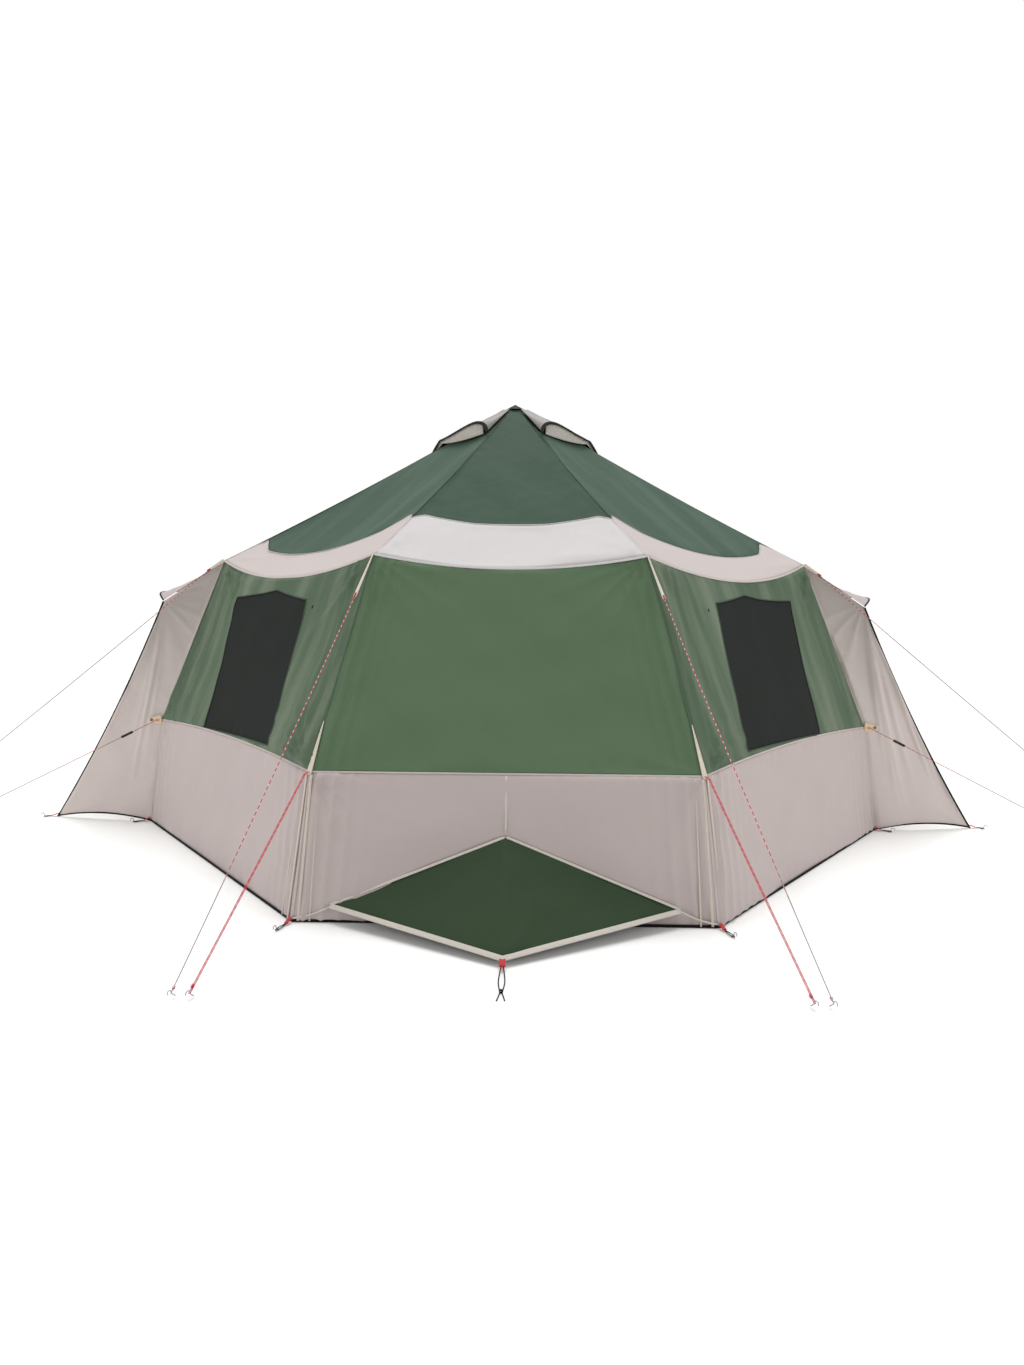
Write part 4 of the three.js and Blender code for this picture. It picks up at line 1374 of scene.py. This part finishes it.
for facing, name in enumerate(FACINGS):
    out = panel_normal(facing, "upper")
    runs = {"": ramp(60)}
    if panel_kind(facing) == "side":
        run = ramp(24) * (0.5 - DOOR["half"] / wall_width(facing, 1.0, True) - 0.004)
        runs = {"a": run, "b": 1 - run}
    for tag, run in runs.items():
        path = knee_point(facing, run) + out * 0.001
        seam(f"knee_seam_{name}{tag}", path, out, BAND_TAPE, 0.008, 0.0016)
    foot = floor_point(facing, ramp(60)) + UP * 0.0075 + outward(facing) * 0.001
    seam(f"ground_tape_{name}", foot, outward(facing), BLACK_BINDING, 0.014, 0.0026)
for facing, name in ((2, "back"), (6, "front")):
    side = outward(facing)
    v = np.linspace(HOOD["top"] / KNEE_HEIGHT + 0.02, 0.99, 14)
    path = lower_wall_point(facing, np.full(14, 0.5), v) + side * 0.0035
    seam(f"centre_seam_{name}", path, side, WHITE_BINDING, 0.011, 0.0020)
for name, path, out, material, section in SEAMS:
    sweep(name, path, out, section, material, "tent")

# ---------- Guy lines, loops, tabs and pegs ----------


def tube(name, path, radius, material, sides=8, size=0.03):
    off_upright = UP + np.array([0.01, 0.02, 0])
    return sweep(name, path, off_upright, ring(radius, sides), material, "tent", size)


def bezier(a, b, sag, count=36):
    t = np.linspace(0, 1, count)[:, None]
    low = (a + b) / 2 - UP * 2 * sag
    return a * (1 - t) ** 2 + 2 * low * t * (1 - t) + b * t**2


def eave_guy_start(n):
    start = eave_corner(n)
    if corner_kind(n) == "front":
        return start + unit(peg_point(n) - start) * (GUY["tab"] + 0.0024)
    edge = unit(wing_top(n) - eave_corner(n))
    return start + edge * GUY["side_tab"] + np.array([0, across_porch(n) * GUY["side_out"], 0])


def knee_guy_start(n, reach=GUY["knee_start"]):
    return knee_corner(n) + at_angle(corner_angle(n), reach)


def guy_cord(name, path, material):
    cord = tube(name, path, GUY["radius"], material)
    return cord


PEG = {"hook": 0.009, "wire": 0.0022, "length": (0.020, 0.022)}  # the shank's run back and down


def peg(name, spot, away):
    """A steel wire peg: its leaning shank above the ground and the hook over the cord."""
    away = unit(away * np.array([1, 1, 0]))
    arc = np.linspace(-0.2, math.pi * 1.15, 14)
    hook = [spot + away * (0.007 - PEG["hook"] * math.cos(a))
            + UP * (0.006 + PEG["hook"] * math.sin(a)) for a in arc]
    back, down = PEG["length"]
    shank = [spot - away * back * k - UP * (down * k - 0.003) for k in (1.0, 0.6, 0.25)]
    path = np.array(shank + hook)
    path[:, 2] = np.maximum(path[:, 2], 0.0015)
    return tube(name, path, PEG["wire"], PEG_STEEL, size=0.003)


def knot(name, spot, along, material, radius=0.0055):
    """A half-hitch: a small wound ball on the cord."""
    along = unit(along)
    side = unit(np.cross(along, UP))
    up = np.cross(side, along)
    t = np.linspace(0, 3 * 2 * math.pi, 60)
    swell = radius * (0.55 + 0.45 * np.sin(t / t[-1] * math.pi))
    path = (
        spot + np.outer((t / t[-1] - 0.5) * radius * 2.4, along)
        + (np.cos(t) * swell)[:, None] * side + (np.sin(t) * swell)[:, None] * up
    )
    return tube(name, path, GUY["radius"], material, size=0.002, sides=6)


def guys(n, key):
    kind = corner_kind(n)
    pull = peg_point(n)
    tangent = np.array([along_porch(n), 0, 0]) if kind == "front" else unit(
        np.cross(UP, pull)) * across_porch(n) * along_porch(n)
    # A side corner's lower line keeps to its runner's axis.
    high_off, low_off, low_sag = (0.035, -0.035, 0.003) if kind == "front" else (0.040, 0.0, 0.0)
    high_peg, low_peg = pull + tangent * high_off, pull + tangent * low_off
    start = eave_guy_start(n)
    path = bezier(start, high_peg, GUY["sag"])
    colour = CORD["eave" if kind == "front" else "side"]
    peg(f"peg_high_{key}", high_peg, pull)
    peg(f"peg_low_{key}", low_peg, pull)
    tie = knot(f"knot_high_{key}", path[-2] * 0.4 + path[-1] * 0.6, path[-1] - path[-2], colour)
    cord = guy_cord(f"guy_high_{key}", path, colour)
    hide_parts(f"guys_{key}")
    exit = knee_guy_start(n, 0.010)
    strands = (-0.0032, 0.0032) if kind == "front" else (0.0,)
    for k, off in enumerate(strands):
        side = unit(np.cross(UP, low_peg - exit)) * off
        path = np.linspace(knee_guy_start(n) + side, low_peg + side, 36)
        path[:, 2] -= low_sag * np.sin(np.linspace(0, math.pi, 36))
        colour = CORD["knee" if kind == "front" else "low_side"]
        if k == 0:
            knot(
                f"knot_low_{key}", path[-2], path[-1] - path[-2], colour, 0.0062,
            )
        guy_cord(f"guy_low_{k + 1}_{key}", path, colour)


def strap(name, path, normal, width, material, thick=0.0018, taper=None):
    return sweep(name, path, normal, tape(width, thick), material, "tent", 0.012, taper=taper)


def loop_path(a, b, out, bulge, count=18):
    """A teardrop from a round b and back, opening by bulge on each side."""
    t = np.linspace(0, 1, count)
    middle = a + (b - a) * np.sin(t * math.pi)[:, None]
    return middle + out * (bulge * np.sin(2 * t * math.pi))[:, None]


GROUND_LOOP = {  # each place is metres outward and up from the corner
    "foot": {"strap": ((0.006, 0.024), (0.040, 0.008)), "width": 0.020, "lean": 0.4,
             "loop": ((0.034, 0.008), (0.105, 0.006)), "bulge": 0.007},
    "tip": {"strap": ((-0.012, 0.022), (0.030, 0.010)), "width": 0.018, "lean": 0.2,
            "loop": ((0.026, 0.009), (0.085, 0.006)), "bulge": 0.006},
}


def ground_loop(part, key, spot, away):
    """At a corner on the ground: a red strap, an elastic loop and its peg."""
    form = GROUND_LOOP[part]
    low, end, start, far = (
        spot + away * out + UP * up for out, up in form["strap"] + form["loop"]
    )
    strap(f"{part}_red_{key}", np.linspace(low, end, 8), unit(UP + away * form["lean"]),
          form["width"], RED_WEBBING, thick=0.003)
    elastic = loop_path(start, far, np.cross(UP, away), form["bulge"])
    tube(f"{part}_loop_{key}", elastic, 0.0023, BLACK_CORD, size=0.005)
    peg(f"peg_{part}_{key}", far + UP * 0.010, away)


def corner_fittings(n, key):
    kind = corner_kind(n)
    radial = at_angle(corner_angle(n), 1)
    pull = peg_point(n)
    around = np.cross(UP, radial)
    eave, knee, foot = eave_corner(n), knee_corner(n), floor_corner(n)
    start = eave_guy_start(n)
    if kind == "front":
        path = np.linspace(eave + radial * 0.004, start, 24)
        out = unit(np.cross(path[-1] - path[0], around))
        strap(f"eave_tab_{key}", path, out, 0.020, CREAM_TAPE, taper=lambda t: 0.42 + 0.58 * t)
        red = np.linspace(path[21], path[-1] + unit(path[-1] - path[0]) * 0.004, 8) + out * 0.003
        strap(f"eave_red_{key}", red, out, 0.010, RED_WEBBING)
        patch = np.linspace(
            knee + (eave - knee) * 0.215, knee + radial * 0.002 - UP * 0.012, 16,
        ) + radial * 0.0045
        strap(f"knee_patch_{key}", patch, radial, 0.030, CREAM_TAPE,
              taper=lambda t: 0.12 + 0.88 * t**0.8)
    else:
        edge = unit(wing_top(n) - eave)
        out = np.array([0, across_porch(n), 0.0])
        path = np.linspace(eave + out * 0.010, eave + edge * (GUY["side_tab"] + 0.012) + out * 0.012,
                           12)
        strap(f"eave_tab_{key}", path, out, 0.024, CREAM_TAPE, taper=lambda t: 1.0 - 0.45 * t)
        strap(f"eave_red_{key}", path[-3:] + out * 0.003, out, 0.013, RED_WEBBING)
        ahead = np.array([along_porch(n), 0, 0.0])
        path = np.linspace(knee + out * 0.009 - ahead * 0.004, knee + out * 0.012 + ahead * 0.085, 10)
        strap(f"knee_patch_{key}", path, out, 0.075, TAN_PATCH, taper=lambda t: 1.0 - 0.72 * t)
        spot = path[-3] + out * 0.003
        turn = np.linspace(0, 2 * math.pi, 25)
        eyelet = spot + 0.007 * (np.cos(turn)[:, None] * ahead + np.sin(turn)[:, None] * UP)
        sweep(f"knee_eyelet_{key}", eyelet, out, ring(0.0022), NYLON, "tent", size=0.002,
              closed=True)
    along = unit(pull - knee)
    red = np.linspace(knee + radial * 0.008, knee_guy_start(n) + along * 0.012, 8)
    strap(f"knee_red_{key}", red, unit(np.cross(along, around)), 0.013, RED_WEBBING, thick=0.0022)
    ground_loop("foot", key, foot, radial)
    if kind == "side":
        tip = wing_tip(n)
        away = unit((tip - foot) * np.array([1, 1, 0]) + np.array([0, across_porch(n) * 0.25, 0]))
        ground_loop("tip", key, tip, away)


def hood_loop(side, name):
    """The red strap at the hood's tip, and its elastic cord, knotted, on the ground."""
    out = np.array([0, side, 0.0])
    tip = hood_point(side, np.array(0.5), np.array(1.0))
    across = np.array([1.0, 0, 0])
    strap(f"hood_red_{name}", np.linspace(tip - out * 0.012 + UP * 0.003, tip + out * 0.040
          - UP * 0.012, 8), unit(UP + out * 0.35), 0.026, RED_WEBBING, thick=0.003)
    exit = tip + out * 0.036 - UP * 0.011
    low = 0.0026
    spot = np.array([tip[0], exit[1] + side * 0.152, low + 0.002])
    tie = knot(f"hood_knot_{name}", spot, out, BLACK_CORD, 0.0065)
    for k, turn in enumerate((-1, 1)):
        share = np.linspace(0, 1, 30)
        x = tip[0] + turn * (0.004 + 0.009 * np.sin(np.clip(share / 0.72, 0, 1) * math.pi))
        tail = np.clip((share - 0.74) / 0.26, 0, 1)
        x = x + turn * 0.012 * tail
        y = exit[1] + side * 0.212 * share
        z = np.maximum(low, exit[2] * (1 - share / 0.30))
        path = np.stack([x, y, z], 1)
        path[0] = exit + across * turn * 0.004
        cord = tube(f"hood_loop_{k + 1}_{name}", path, 0.0024, BLACK_CORD, size=0.006)


CORNERS = {
    0: "side_front_right", 1: "side_back_right", 2: "back_right", 3: "back_left",
    4: "side_back_left", 5: "side_front_left", 6: "front_left", 7: "front_right",
}
for n, key in CORNERS.items():
    guys(n, key)
    corner_fittings(n, key)
hood_loop(-1, "front")
hood_loop(1, "back")

# Toggles that hold a rolled window flap, beside the windows' top corners.
for facing in (1, 3, 5, 7):
    name = FACINGS[facing]
    origin, u_axis, v_axis = window_frame(facing)
    normal = panel_normal(facing, "upper")
    for k, u in enumerate((-0.45, 0.54)):
        spot = origin + u_axis * u + v_axis * 0.845 + normal * 0.005
        strap(f"toggle_{k + 1}_{name}", np.array([spot, spot - v_axis * 0.009, spot
              - v_axis * 0.018]), normal, 0.006, BLACK_CORD, thick=0.0030)

# ---------- CAD pieces that stay: pole, foot, cap and line runners ----------

FINISHES = {"pole_lower": STEEL, "pole_upper": STEEL, "pole_foot": NYLON, "pole_cap": NYLON}
FINISHES |= {
    f"tensioner_{end}_{side}": NYLON for end in ("front", "back") for side in ("right", "left")
}
for name, material in FINISHES.items():
    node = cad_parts[name]
    node.data.materials.clear()
    node.data.materials.append(material)
    rounding = node.modifiers.new("rounding", "BEVEL")
    rounding.width, rounding.segments, rounding.limit_method = 0.0012, 2, "ANGLE"

# ---------- Floor, light and camera ----------

bpy.ops.mesh.primitive_plane_add(size=160, location=(0, 0, -0.0005))
floor = bpy.context.object
floor.name = "floor"
studio = Shader("studio_floor")
speck = studio.noise(studio.node("ShaderNodeTexCoord").outputs["Object"], 3.0)
floor.data.materials.append(studio.surface(
    Base_Color=studio.mix(speck, linear("#f6f6f4"), linear("#fafaf9")), Roughness=0.85,
    Specular_IOR_Level=0.1,
))

world = bpy.data.worlds.new("studio")
bpy.context.scene.world = world
world.use_nodes = True
SKY = 0.48  # how brightly the white room lights the tent; the camera sees it as plain white
nodes, links = world.node_tree.nodes, world.node_tree.links
backdrop = nodes["Background"]
backdrop.inputs["Color"].default_value = (1.0, 1.0, 1.0, 1)
seen = nodes.new("ShaderNodeMix")
seen.inputs[2].default_value, seen.inputs[3].default_value = SKY, 1.0
links.new(nodes.new("ShaderNodeLightPath").outputs["Is Camera Ray"], seen.inputs[0])
links.new(seen.outputs[0], backdrop.inputs["Strength"])


def lamp(name, kind, place, aim, power, **shape):
    data = bpy.data.lights.new(name, kind)
    data.energy = power
    for key, value in shape.items():
        setattr(data, key, value)
    made = bpy.data.objects.new(name, data)
    bpy.context.scene.collection.objects.link(made)
    made.location = place
    direction = Vector(aim) - Vector(place)
    made.rotation_euler = direction.to_track_quat("-Z", "Y").to_euler()


lamp("overhead", "SUN", (0, 1.7, 6), (0, 0, 0), 2.25, angle=math.radians(44))
for k, side in enumerate((-1, 1)):
    lamp(f"side_box_{k + 1}", "AREA", (side * 7.5, -4.5, 3.2), (side * 1.2, 0, 1.2), 150,
         shape="RECTANGLE", size=4, size_y=4)

CAMERA = {"place": (0.066, -5.516, 1.537), "yaw": -0.76, "pitch": 7.25, "roll": 0.5, "focal": 700}
yaw, pitch, roll = (math.radians(CAMERA[k]) for k in ("yaw", "pitch", "roll"))
ahead = np.array([
    math.sin(yaw) * math.cos(pitch), math.cos(yaw) * math.cos(pitch), -math.sin(pitch),
])
right = np.array([math.cos(yaw), -math.sin(yaw), 0])
above = np.cross(right, ahead)
x_axis = right * math.cos(roll) + above * math.sin(roll)
y_axis = -right * math.sin(roll) + above * math.cos(roll)
camera = bpy.data.objects.new("camera", bpy.data.cameras.new("camera"))
bpy.context.scene.collection.objects.link(camera)
camera.data.sensor_width = 36
camera.data.lens = CAMERA["focal"] * 36 / 1365
camera.data.clip_end = 300
turned = Matrix([
    (x_axis[k], y_axis[k], -ahead[k], CAMERA["place"][k]) for k in range(3)
] + [(0, 0, 0, 1)])
camera.matrix_world = turned
bpy.context.scene.camera = camera
bpy.context.scene.view_settings.view_transform = "Standard"
